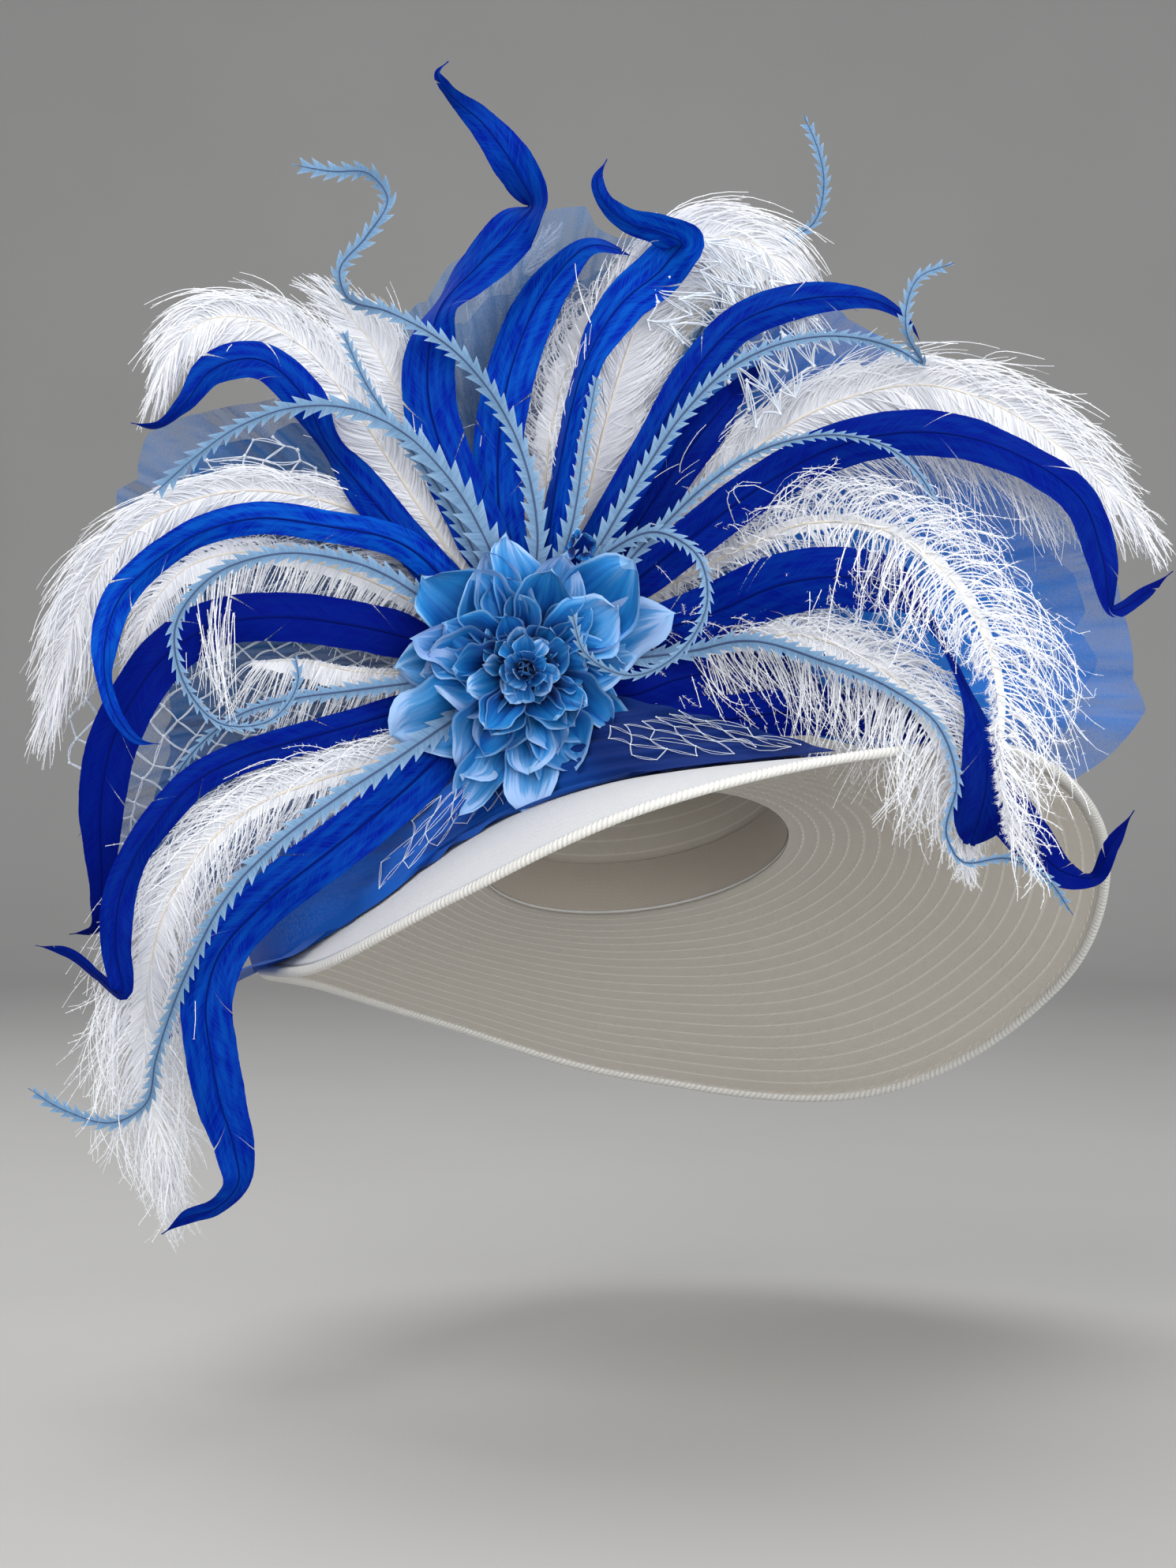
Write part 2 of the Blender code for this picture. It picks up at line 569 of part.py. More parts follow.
def make_edge_cord(finish):
    """The wired cord sewn round the brim's edge."""
    half, thick = EDGE_WIDTH / 2, EDGE_THICKNESS / 2
    rings = []
    for i in range(BRIM_SECTORS):
        bearing = 360 * i / BRIM_SECTORS
        at_edge = brim_point(bearing, 1, STRAW / 2)
        inside = brim_point(bearing, 0.9, STRAW / 2)
        out = (at_edge - inside).normalized()
        along = brim_point(bearing + 2, 1) - brim_point(bearing - 2, 1)
        up = out.cross(along).normalized()
        if up.z < 0:
            up = -up
        out = along.cross(up).normalized()
        if out.dot(at_edge) < 0:
            out = -out
        middle = at_edge + out * (half + GAP * 1.6)
        corners = ((-1, 0), (0, 1), (1, 0), (0, -1))
        rings.append([worn() @ (middle + out * half * a + up * thick * b) for a, b in corners])
    points = [p for ring in rings for p in ring]
    faces = [
        (4 * i + j, 4 * i + (j + 1) % 4, 4 * k + (j + 1) % 4, 4 * k + j)
        for i in range(BRIM_SECTORS)
        for k in [(i + 1) % BRIM_SECTORS]
        for j in range(4)
    ]
    node_from("edge_cord", points, faces, finish)


def crown_rings(grow):
    """Rings up the crown's side, grown outwards by so much."""
    rings = []
    for row in CROWN_PROFILE:
        wide = (OPENING_HALF_WIDTH + 0.0005) * row.size + grow
        deep = (OPENING_HALF_DEPTH + 0.0005) * row.size + grow
        height = STRAW + GAP + row.height * CROWN_HEIGHT
        if row is not CROWN_PROFILE[0]:
            height += grow * row.height**4
        rings.append([
            worn() @ Vector((wide * math.sin(a), -deep * math.cos(a), height))
            for a in (2 * math.pi * i / CROWN_SIDES for i in range(CROWN_SIDES))
        ])
    return rings


def make_crown(finish):
    """A thin shell: its outer skin, its inner skin and the rim that joins them."""
    outer, inner = crown_rings(STRAW), crown_rings(0)
    points, faces = skin(outer)
    faces = [f for f in faces if f != tuple(range(CROWN_SIDES))]
    more, inner_faces = skin(inner)
    shift = len(points)
    points = points + more
    faces += [
        tuple(v + shift for v in f) for f in inner_faces if f != tuple(range(CROWN_SIDES))
    ]
    for j in range(CROWN_SIDES):
        m = (j + 1) % CROWN_SIDES
        faces.append((j, m, m + shift, j + shift))
    node_from("crown", points, faces, finish)


def make_sweatband(finish):
    """The band inside the crown's foot."""
    rings = []
    outer = -GAP * 1.5
    low, high = STRAW + GAP, STRAW + GAP + BAND_HEIGHT
    corners = ((outer, low), (outer - 0.0008, high), (outer - 0.0008 - BAND_THICKNESS, high),
               (outer - BAND_THICKNESS, low))
    for i in range(CROWN_SIDES):
        a = 2 * math.pi * i / CROWN_SIDES
        rings.append([
            worn() @ Vector((
                (OPENING_HALF_WIDTH + 0.0005 + grow) * math.sin(a),
                -(OPENING_HALF_DEPTH + 0.0005 + grow) * math.cos(a),
                height,
            ))
            for grow, height in corners
        ])
    points = [p for ring in rings for p in ring]
    faces = [
        (4 * i + j, 4 * i + (j + 1) % 4, 4 * k + (j + 1) % 4, 4 * k + j)
        for i in range(CROWN_SIDES)
        for k in [(i + 1) % CROWN_SIDES]
        for j in range(4)
    ]
    node_from("sweatband", points, faces, finish)


def around_trim(angle, reach, forward_mm):
    """A point seen at an angle and a reach in pixels from the trimming's middle."""
    return seen_at(
        TRIM_CENTRE[0] + reach * math.cos(math.radians(angle)),
        TRIM_CENTRE[1] - reach * math.sin(math.radians(angle)),
        forward_mm,
    )


def make_hub(finish):
    """The bound stems that carry the whole spray. Its back is cut to the crown's side."""
    sides = 18
    radius = HUB_RADIUS_PIXELS
    rings = [
        [around_trim(360 * i / sides, radius, forward) for i in range(sides)]
        for forward in (HUB_BACK, HUB_FRONT)
    ]
    hub = node_from("stem_hub", *skin(rings), finish)
    cutter = node_from("crown_cutter", *skin(crown_rings(STRAW + GAP * 2)), finish)
    cutter.hide_render = True
    cutter.display_type = "WIRE"
    seat = hub.modifiers.new("seat_on_crown", "BOOLEAN")
    seat.operation = "DIFFERENCE"
    seat.solver = "EXACT"
    seat.object = cutter


def fan_point(fan, angle, share, ruffle):
    """A point of a cloth fan: share 0 at the hub, 1 at its free edge."""
    keys = [r.angle for r in fan.rows]
    reach, forward, bulge = hermite([angle], keys, [r[1:] for r in fan.rows])[0]
    start = HUB_RADIUS_PIXELS + 1.5
    at = start + (reach - start) * share
    depth = fan.root + (forward - fan.root) * share
    depth += bulge * math.sin(math.pi * share**0.6)
    return around_trim(angle, at, depth + ruffle * share * 1000)


def make_tulle_fans(finish):
    """Ruffled cloth fans, gathered at the hub."""
    shares = (0.0, 0.12, 0.5, 1.0)
    for name, fan in TULLE_FANS.items():
        low, high = fan.rows[0].angle, fan.rows[-1].angle
        columns = 2 * round(TULLE_PLEATS * (high - low) / 120 + 1) + 1
        points = []
        for share in shares:
            for i in range(columns):
                angle = low + (high - low) * i / (columns - 1)
                ruffle = RUFFLE_DEPTH * (1 if i % 2 else -1) * 0.5
                points.append(fan_point(fan, angle, share, ruffle))
        faces = [
            (a + i, a + i + 1, a + columns + i + 1, a + columns + i)
            for a in range(0, columns * (len(shares) - 1), columns)
            for i in range(columns - 1)
        ]
        made = node_from(name, points, faces, finish)
        thicken(made, CLOTH)


def make_net_fans(finish):
    """Coarse netting gathered at the hub, its diamonds cut through."""
    for name, fan in NET_FANS.items():
        low, high = fan.rows[0].angle, fan.rows[-1].angle
        columns = round((high - low) / NET_DIAMOND)
        sheet = bmesh.new()
        grid = []
        for k in range(NET_ROWS + 2):
            share = (k / (NET_ROWS + 1)) ** 0.8
            slip = 0.25 if k % 2 else -0.25
            steps = [min(max(i + slip, 0), columns) for i in range(columns + 1)]
            angles = [low + (high - low) * step / columns for step in steps]
            grid.append([sheet.verts.new(fan_point(fan, angle, share, 0)) for angle in angles])
        for near, far in zip(grid, grid[1:]):
            for i in range(columns):
                sheet.faces.new((near[i], near[i + 1], far[i + 1], far[i]))
        sheet.normal_update()
        gathered = sheet.faces[:columns]
        diamonds = [face for face in sheet.faces if face not in gathered]
        bmesh.ops.inset_individual(
            sheet, faces=diamonds, thickness=NET_CORD, use_even_offset=True
        )
        bmesh.ops.delete(sheet, geom=diamonds, context="FACES_ONLY")
        mesh = bpy.data.meshes.new(name)
        sheet.to_mesh(mesh)
        sheet.free()
        mesh.materials.append(finish)
        made = bpy.data.objects.new(name, mesh)
        bpy.context.scene.collection.objects.link(made)
        thicken(made, CLOTH)


def make_wrap(finish):
    """Tulle folded round the foot of the crown, out over the brim and off its tip."""
    resting = STRAW + CLOTH / 2 + GAP
    points, faces, at = [], [], {}
    for j in WRAP_SECTORS:
        bearing = 360 * j / BRIM_SECTORS
        foot = brim_point(bearing, 0, 0)
        out = Vector((foot.x, foot.y, 0)).normalized()
        pleat = 0.0014 if j % 2 else 0.0
        column = [foot + out * (STRAW + CLOTH * 1.6) + Vector((0, 0, WRAP_UP_CROWN))]
        for ring in WRAP_RINGS:
            column.append(brim_point(bearing, ring / BRIM_RINGS, resting + pleat))
        if j in HANGING_SECTORS:
            for row in HANGING_ROWS:
                past = brim_point(bearing, row.share, resting + row.lift / 1000 + pleat)
                column.append(past + out * row.out / 1000)
        for k, point in enumerate(column):
            at[j, k] = len(points)
            points.append(worn() @ point)
    for j, k in at:
        corners = [(j, k), (j + 1, k), (j + 1, k + 1), (j, k + 1)]
        if all(corner in at for corner in corners):
            faces.append(tuple(at[corner] for corner in corners))
    made = node_from("tulle_wrap", points, faces, finish)
    thicken(made, CLOTH)


def dahlia_point(angle, out_mm, height_mm):
    """A point of the dahlia, whose face looks back along the line of sight."""
    centre = seen_at(*TRIM_CENTRE, HUB_FRONT)
    eye = seen_at(*VIEW_MIDDLE, EYE_DISTANCE * 1000 - 1)
    facing = (eye - centre).normalized()
    right = Vector((0, 0, 1)).cross(-facing).normalized() * -1
    up = facing.cross(right)
    turn = math.radians(angle)
    return (
        centre
        + (right * math.cos(turn) + up * math.sin(turn)) * out_mm / 1000
        + facing * height_mm / 1000
    )


def make_dahlia(finish):
    """Each ring of petals is one cut of cloth: a small disc with petals that cup forward."""
    disc = 5.0
    for number, ring in enumerate(DAHLIA):
        points, faces = [], []
        spread = 180 / ring.petals
        out = disc + (ring.reach - disc) * PETAL_WIDEST
        rise = ring.root_height + (ring.tip_height - ring.root_height) * PETAL_WIDEST
        half = min(math.degrees(math.atan2(ring.width / 2, out)), 0.93 * spread)
        for lift in (0.0, PETAL_THICKNESS * 1000):
            points.append(dahlia_point(0, 0, ring.root_height + lift))
            for p in range(ring.petals):
                middle = ring.first + 360 * p / ring.petals
                points += [
                    dahlia_point(middle - spread, disc, ring.root_height + lift),
                    dahlia_point(middle, disc, ring.root_height + lift),
                    dahlia_point(middle - half, out, rise + ring.cup + lift),
                    dahlia_point(middle, out, rise + lift),
                    dahlia_point(middle + half, out, rise + ring.cup + lift),
                    dahlia_point(middle, ring.reach, ring.tip_height + lift),
                ]
        layer = len(points) // 2
        for p in range(ring.petals):
            valley, root, left, keel, right, tip = range(1 + 6 * p, 7 + 6 * p)
            following = 1 + 6 * ((p + 1) % ring.petals)
            sheet = [
                (0, valley, root), (0, root, following),
                (valley, left, keel, root), (root, keel, right, following),
                (left, tip, keel), (keel, tip, right),
            ]
            faces += sheet
            faces += [tuple(v + layer for v in face) for face in sheet]
            outline = (valley, left, tip, right, following)
            for a, b in zip(outline, outline[1:]):
                faces.append((a, b, b + layer, a + layer))
        node_from(f"dahlia_ring_{number + 1}", points, faces, finish)


def make_dahlia_heart(finish):
    """The tight bud in the dahlia's middle."""
    sides = 8
    rings = [
        [dahlia_point(360 * i / sides, out, height) for i in range(sides)]
        for out, height in ((3.2, 7.9), (6, 22), (6.5, 33), (3, 40))
    ]
    node_from("dahlia_heart", *skin(rings), finish)


def main():
    for old in list(bpy.data.objects):
        bpy.data.objects.remove(old)
    straw = material("white_straw", (0.86, 0.85, 0.80), 0.55)
    band = material("sweatband_cloth", (0.62, 0.57, 0.50), 0.8)
    tulle = material("blue_tulle", (0.05, 0.22, 0.62), 0.7)
    net = material("white_net", (0.88, 0.90, 0.93), 0.6)
    plume = material("white_ostrich", (0.90, 0.91, 0.93), 0.8)
    royal = material("royal_blue_goose", (0.004, 0.02, 0.42), 0.45)
    pale = material("pale_blue_quill", (0.28, 0.47, 0.68), 0.5)
    petal = material("dahlia_silk", (0.13, 0.32, 0.66), 0.6)
    stems = material("stem_tape", (0.02, 0.06, 0.35), 0.8)
    make_brim(straw)
    make_edge_cord(straw)
    make_crown(straw)
    make_sweatband(band)
    make_wrap(tulle)
    make_hub(stems)
    make_tulle_fans(tulle)
    make_net_fans(net)
    make_plumes(plume)
    make_blades(royal)
    make_quills(pale)
    make_dahlia(petal)
    make_dahlia_heart(petal)


main()
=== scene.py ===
"""Looks for the race-day hat: each part of the CAD frame is replaced by a detailed piece,
built in mesh code from the same named paths, with a procedural material of its own."""

import math
from collections import namedtuple

import bpy
import numpy as np
from mathutils import Matrix, Vector


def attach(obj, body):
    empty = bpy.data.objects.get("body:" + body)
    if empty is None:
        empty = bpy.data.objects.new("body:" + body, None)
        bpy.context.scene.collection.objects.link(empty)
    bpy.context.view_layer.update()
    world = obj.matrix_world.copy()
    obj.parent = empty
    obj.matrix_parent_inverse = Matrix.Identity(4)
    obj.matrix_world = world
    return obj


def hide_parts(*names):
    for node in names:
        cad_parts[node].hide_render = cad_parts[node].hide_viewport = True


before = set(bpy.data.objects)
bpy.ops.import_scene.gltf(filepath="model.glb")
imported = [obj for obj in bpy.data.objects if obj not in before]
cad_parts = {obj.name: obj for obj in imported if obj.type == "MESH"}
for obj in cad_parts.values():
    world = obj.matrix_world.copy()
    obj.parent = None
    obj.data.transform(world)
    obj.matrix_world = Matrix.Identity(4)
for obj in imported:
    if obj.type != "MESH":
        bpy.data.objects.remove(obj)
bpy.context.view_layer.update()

# The hat's own sizes, in metres, and how far it is tipped on the head
OPENING_HALF_WIDTH = 0.088
OPENING_HALF_DEPTH = 0.099
CROWN_HEIGHT = 0.112
CROWN_EASE = 0.0005
STRAW = 0.002
BAND_HEIGHT = 0.030
EDGE_WIDTH = 0.0064
EDGE_THICKNESS = 0.0052
GAP = 0.0003
TIPPED_BACK = math.radians(22)
TIPPED_SIDEWAYS = math.radians(6)

# One turn of the edge cord's strands, and how far forward the hub's front is, in millimetres
STRAND_PITCH = 3.0
HUB_FRONT = 98

# The hub's radius and how far outside it the cloth starts, in picture pixels
HUB_RADIUS_PIXELS = 50
HUB_CLEARANCE = 1.5

# The front view in which the trimming is laid out: a pixel's size and the eye's distance in metres,
# places and the picture's height in pixels, and the camera's sensor in millimetres
PIXEL = 0.00045
EYE_DISTANCE = 1.336
VIEW_MIDDLE = (745, 993.5)
OPENING_SEEN_AT = (805, 1085)
TRIM_CENTRE = (666, 848)
PICTURE_HEIGHT = 1987
SENSOR = 36

# The brim's outer edge: bearing in degrees, reach and drop in millimetres
BRIM_EDGE = [
    (0, 212, 52), (30, 219, 29), (60, 232, 9), (90, 263, 24), (120, 294, 61), (150, 306, 84),
    (180, 278, 54), (210, 243, 24), (240, 216, 24), (270, 211, 46), (300, 199, 78),
    (330, 196, 72),
]
BRIM_DOME = 1.6

# The sewn braid: rows on the brim, a row's width on the crown in millimetres, and in metres how
# high a row stands, the radius of the brim's first row, and the stitches' pitch and width
BRAID_ROWS = 20
CROWN_ROW = 9.0
BRAID_RELIEF = 0.00030
FIRST_ROW_RADIUS = 0.093
STITCH_PITCH = 0.0066
STITCH_WIDTH = 0.00062

# How finely the brim and the crown are cut, and the millimetres that a radian takes round each
# part, for the patterns of straw and cloth
BRIM_STEPS = 240
RINGS_PER_ROW = 3
CROWN_STEPS = 128
AROUND = {"brim": 180, "crown": 95, "band": 93, "wrap": 150}

# The crown's side in section: share of its height, share of the opening's size
CROWN_PROFILE = [(0, 1), (0.45, 0.985), (0.72, 0.95), (0.88, 0.86), (0.97, 0.66), (1, 0.36)]

# A feather: width in millimetres, how far forward its root is, and its path: across and down in
# picture pixels, forward in millimetres, turn in degrees
Feather = namedtuple("Feather", "width root path")
BLADES = {
    "blade_upper_left": Feather(21, 78, [
        (470, 630, 88, 10), (415, 556, 92, 50), (383, 500, 96, 0), (325, 456, 102, -10),
        (268, 468, 108, 20), (232, 512, 112, 40), (195, 540, 114, 60), (166, 536, 114, 20)]),
    "blade_tall": Feather(29, 81, [
        (606, 670, 83, 0), (568, 590, 80, 0), (544, 510, 76, 0), (546, 445, 74, 20),
        (563, 392, 74, 55), (603, 345, 76, 30), (652, 292, 80, 20), (680, 262, 83, 70),
        (660, 222, 86, 40), (610, 155, 87, 0), (566, 112, 88, 50), (554, 92, 88, 30),
        (568, 78, 88, 0)]),
    "blade_crest_left": Feather(27, 76, [
        (632, 640, 74, 0), (634, 540, 68, 0), (658, 440, 64, 10), (697, 362, 66, 15),
        (752, 312, 70, 30), (806, 326, 74, 60)]),
    "blade_crest_right": Feather(26, 84, [
        (704, 650, 84, 60), (722, 550, 81, 60), (748, 456, 78, 50), (790, 385, 77, 20),
        (842, 338, 79, 0), (866, 308, 87, 40), (838, 292, 97, 50), (796, 280, 97, 50),
        (763, 250, 90, 40), (757, 228, 88, 20), (769, 202, 86, 0)]),
    "blade_upper_right": Feather(20, 84, [
        (762, 674, 88, 20), (828, 562, 88, 10), (884, 465, 88, 0), (937, 410, 89, 0),
        (1000, 384, 92, 0), (1064, 376, 96, 0), (1121, 386, 100, 20), (1153, 410, 101, 50),
        (1168, 438, 100, 60)]),
    "blade_short_right": Feather(24, 75, [
        (798, 680, 76, 0), (862, 585, 76, 0), (917, 515, 75, 0), (968, 458, 72, 10)]),
    "blade_arch_right": Feather(24, 80, [
        (866, 690, 94, 10), (966, 616, 107, 0), (1060, 566, 117, 0), (1171, 548, 127, 0),
        (1290, 580, 136, 30), (1372, 640, 142, 20), (1397, 710, 145, 0), (1411, 775, 146, 50),
        (1450, 752, 143, 20), (1486, 724, 140, 0)]),
    "blade_over_brim": Feather(26, 78, [
        (900, 778, 100, 0), (994, 740, 122, 0), (1075, 732, 137, 0), (1140, 752, 145, 10),
        (1182, 795, 156, 50), (1212, 850, 171, 50), (1238, 915, 189, 20), (1250, 980, 202, 0),
        (1240, 1036, 206, 0), (1228, 1068, 203, 20)]),
    "blade_on_brim": Feather(25, 80, [
        (900, 912, 98, 0), (1000, 902, 116, 0), (1100, 905, 140, 10), (1176, 920, 166, 30),
        (1217, 955, 167, 50), (1262, 1008, 167, 20), (1304, 1062, 162, 0),
        (1352, 1108, 153, 20), (1386, 1114, 149, 60), (1408, 1072, 152, 20),
        (1437, 1027, 150, 0)]),
    "blade_arch_left": Feather(17, 82, [
        (500, 685, 94, 0), (415, 667, 105, 0), (319, 657, 115, 10), (253, 674, 123, 30),
        (191, 714, 131, 40), (151, 757, 138, 30), (133, 812, 144, 20), (132, 862, 148, 50),
        (148, 908, 150, 20), (178, 940, 146, 20), (203, 943, 140, 0)]),
    "blade_left": Feather(26, 80, [
        (446, 792, 92, 0), (360, 782, 102, 0), (274, 790, 112, 20), (212, 828, 120, 10),
        (170, 884, 123, 0), (142, 945, 122, 0), (129, 1012, 118, 0), (128, 1080, 112, 0),
        (128, 1135, 107, 10), (119, 1178, 102, 50), (88, 1184, 96, 20)]),
    "blade_lower_left": Feather(17, 82, [
        (446, 919, 98, 0), (360, 943, 112, 0), (306, 960, 120, 0), (253, 986, 127, 10),
        (203, 1036, 133, 20), (167, 1090, 137, 40), (150, 1142, 139, 20), (147, 1200, 139, 0),
        (152, 1258, 135, 40), (124, 1236, 129, 50), (88, 1208, 122, 10), (45, 1198, 116, 0)]),
    "blade_hanging": Feather(27, 83, [
        (505, 1008, 104, 0), (432, 1068, 118, 0), (378, 1108, 125, 10), (322, 1155, 129, 20),
        (280, 1205, 131, 10), (262, 1268, 131, 0), (268, 1335, 129, 0), (281, 1400, 127, 0),
        (297, 1455, 125, 10), (299, 1502, 122, 40), (272, 1530, 118, 30), (240, 1541, 114, 10),
        (205, 1564, 110, 0)]),
}
PLUMES = {
    "plume_upper_left": Feather(44, 70, [
        (520, 625, 77, 0), (445, 512, 80, 0), (385, 440, 81, 0), (320, 404, 87, 0),
        (256, 408, 95, 0), (216, 448, 101, 0), (202, 486, 102, 0)]),
    "plume_behind_left": Feather(50, 63, [
        (560, 610, 62, 0), (502, 490, 60, 0), (460, 420, 62, 0), (420, 378, 66, 0)]),
    "plume_behind_tulle": Feather(40, 42, [
        (620, 600, 34, 0), (618, 480, 28, 0), (642, 380, 26, 0), (684, 312, 28, 0)]),
    "plume_crest": Feather(48, 60, [
        (688, 660, 57, 0), (698, 545, 54, 0), (732, 435, 50, 0), (782, 352, 50, 0)]),
    "plume_top": Feather(58, 71, [
        (740, 650, 70, 0), (766, 540, 68, 0), (796, 440, 66, 0), (832, 350, 66, 0),
        (880, 306, 68, 0), (935, 302, 72, 0), (982, 328, 79, 0), (1008, 372, 82, 0)]),
    "plume_arch_right": Feather(56, 62, [
        (850, 688, 65, 0), (905, 618, 68, 0), (965, 562, 71, 0), (1030, 522, 77, 0),
        (1095, 498, 85, 0), (1170, 488, 95, 0), (1250, 508, 105, 0), (1330, 556, 113, 0),
        (1400, 614, 120, 0), (1448, 664, 124, 0)]),
    "plume_over_brim": Feather(46, 67, [
        (925, 702, 86, 0), (1020, 664, 110, 0), (1110, 668, 136, 0), (1188, 716, 168, 0),
        (1238, 786, 195, 0), (1262, 868, 210, 0), (1266, 945, 218, 0), (1270, 1010, 222, 0),
        (1282, 1066, 221, 0)]),
    "plume_on_brim": Feather(44, 74, [
        (920, 812, 99, 0), (1020, 806, 120, 0), (1104, 840, 143, 0), (1166, 890, 170, 0),
        (1200, 950, 184, 0), (1212, 1022, 189, 0), (1226, 1098, 191, 0)]),
    "plume_arch_left": Feather(34, 67, [
        (450, 728, 84, 0), (370, 706, 94, 0), (300, 700, 102, 0), (236, 720, 107, 0),
        (192, 768, 109, 0), (168, 832, 108, 0)]),
    "plume_far_left": Feather(40, 61, [
        (480, 662, 72, 0), (400, 632, 82, 0), (310, 622, 90, 0), (222, 642, 96, 0),
        (152, 690, 100, 0), (108, 752, 102, 0), (84, 822, 102, 0), (66, 888, 100, 0)]),
    "plume_short_left": Feather(36, 68, [
        (448, 850, 84, 0), (380, 838, 90, 0), (322, 838, 93, 0)]),
    "plume_hanging": Feather(52, 70, [
        (485, 962, 95, 0), (400, 990, 107, 0), (322, 1022, 115, 0), (255, 1078, 119, 0),
        (209, 1155, 117, 0), (189, 1240, 113, 0), (184, 1330, 107, 0), (197, 1420, 103, 0),
        (215, 1500, 99, 0)]),
}
QUILLS = {
    "quill_wavy": Feather(15, 93, [
        (680, 660, 97, 0), (652, 550, 95, 0), (606, 476, 94, 20), (568, 438, 94, 0),
        (492, 395, 94, 0), (438, 374, 94, 40), (430, 345, 94, 0), (464, 300, 94, 0),
        (491, 250, 94, 20), (468, 220, 94, 40), (420, 217, 94, 0), (371, 209, 94, 0)]),
    "quill_broad": Feather(21, 96, [
        (618, 690, 104, 0), (560, 595, 110, 0), (508, 546, 112, 0), (450, 519, 114, 0),
        (368, 517, 117, 10), (300, 542, 120, 10), (246, 580, 122, 20), (195, 626, 122, 0)]),
    "quill_short_left": Feather(15, 88, [
        (570, 640, 94, 0), (505, 548, 99, 0), (465, 488, 100, 0), (434, 420, 100, 0)]),
    "quill_loop_left": Feather(14, 94, [
        (446, 712, 109, 0), (351, 702, 121, 0), (265, 733, 131, 20), (223, 791, 135, 20),
        (232, 862, 135, 10), (280, 917, 131, 20), (344, 912, 129, 20), (378, 860, 127, 0),
        (373, 828, 126, 0)]),
    "quill_left": Feather(13, 92, [
        (446, 875, 104, 0), (370, 886, 111, 0), (303, 906, 116, 0), (242, 956, 117, 0),
        (212, 1004, 115, 0), (196, 1042, 112, 0)]),
    "quill_hanging": Feather(16, 94, [
        (500, 963, 115, 0), (420, 1016, 132, 0), (352, 1068, 142, 0), (292, 1130, 146, 0),
        (246, 1212, 142, 10), (214, 1290, 130, 0), (197, 1345, 123, 0), (185, 1398, 116, 20),
        (150, 1421, 113, 0), (76, 1404, 110, 0), (36, 1379, 108, 0)]),
    "quill_upright": Feather(17, 95, [
        (728, 650, 100, 0), (740, 567, 98, 0), (756, 478, 93, 10)]),
    "quill_kinked": Feather(14, 91, [
        (770, 674, 99, 0), (818, 594, 100, 0), (866, 524, 100, 0), (920, 470, 100, 0),
        (985, 437, 101, 0), (1064, 426, 105, 0), (1140, 444, 110, 0), (1170, 462, 113, 60),
        (1150, 425, 115, 40), (1148, 392, 115, 0), (1162, 354, 115, 10), (1209, 333, 113, 0)]),
    "quill_crown_right": Feather(12, 52, [
        (780, 620, 46, 0), (862, 460, 42, 0), (940, 350, 42, 0), (990, 306, 44, 0),
        (1030, 284, 46, 20), (1044, 234, 48, 10), (1036, 188, 50, 0), (1018, 146, 50, 0)]),
    "quill_arch_right": Feather(11, 96, [
        (838, 668, 108, 0), (892, 617, 114, 0), (950, 577, 120, 0), (1006, 557, 127, 0),
        (1070, 552, 134, 0), (1130, 570, 140, 20), (1172, 612, 143, 10), (1196, 672, 147, 0)]),
    "quill_curl": Feather(12, 93, [
        (772, 698, 104, 0), (832, 674, 116, 0), (885, 706, 130, 20), (896, 760, 142, 20),
        (862, 826, 152, 20), (800, 856, 158, 20), (742, 828, 160, 20), (724, 772, 160, 0)]),
    "quill_lower_right": Feather(13, 93, [
        (880, 824, 108, 0), (940, 812, 122, 0), (1050, 840, 150, 0), (1124, 870, 172, 10),
        (1190, 922, 195, 10), (1212, 990, 209, 10), (1200, 1062, 215, 30),
        (1216, 1090, 215, 50), (1278, 1088, 209, 10), (1325, 1112, 200, 0),
        (1359, 1159, 189, 0)]),
}

# How dark each blade is, from 0 to 1
DARK_BLADES = {
    "blade_upper_right": 0.6, "blade_short_right": 0.85, "blade_arch_right": 0.85,
    "blade_over_brim": 0.8, "blade_on_brim": 0.95, "blade_left": 0.95, "blade_lower_left": 0.85,
    "blade_upper_left": 0.5, "blade_base": 0.95, "blade_hanging": 0.45, "blade_tall": 0.45,
    "blade_crest_right": 0.15, "blade_arch_left": 0.1, "blade_crest_left": 0.2,
}

# The short blade beside the flower
BASE_BLADE = Feather(30, 76, [
    (790, 882, 90, 0), (860, 860, 93, 0), (930, 850, 96, 10), (1000, 856, 100, 20),
    (1050, 876, 104, 60)])

# Blades that are waisted: share of the length, width as a share
BLADE_WIDTHS = {
    "blade_over_brim": [
        (0, 0.5), (0.12, 0.95), (0.45, 1.2), (0.54, 1.1), (0.59, 0.6), (0.65, 0.40),
        (0.79, 0.42), (0.86, 0.85), (0.94, 1.0), (1, 0.9)],
}

# The least width of a quill's outer end, as a share, where it isn't half
QUILL_ENDS = {
    "quill_wavy": 0.75, "quill_crown_right": 0.70, "quill_kinked": 0.60, "quill_hanging": 0.60,
}

# How far a blade's barbs and a quill's teeth run along the shaft for a millimetre outwards,
# millimetres from barb to barb, depth of a blade's keel as a share of its half width, and how far on
# the streaks of a feather's second side start
BARB_SLANT = 1.25
TOOTH_SLANT = 0.50
BARB_PITCH = 1.5
KEEL = 0.17
OTHER_SIDE = 40

# Points along a feather's line, from a blade's shaft to its edge, along a barb and across the down
LINE_POINTS = 500
VANE_POINTS = 10
BARB_STEPS = 11
DOWN_STEPS = 6

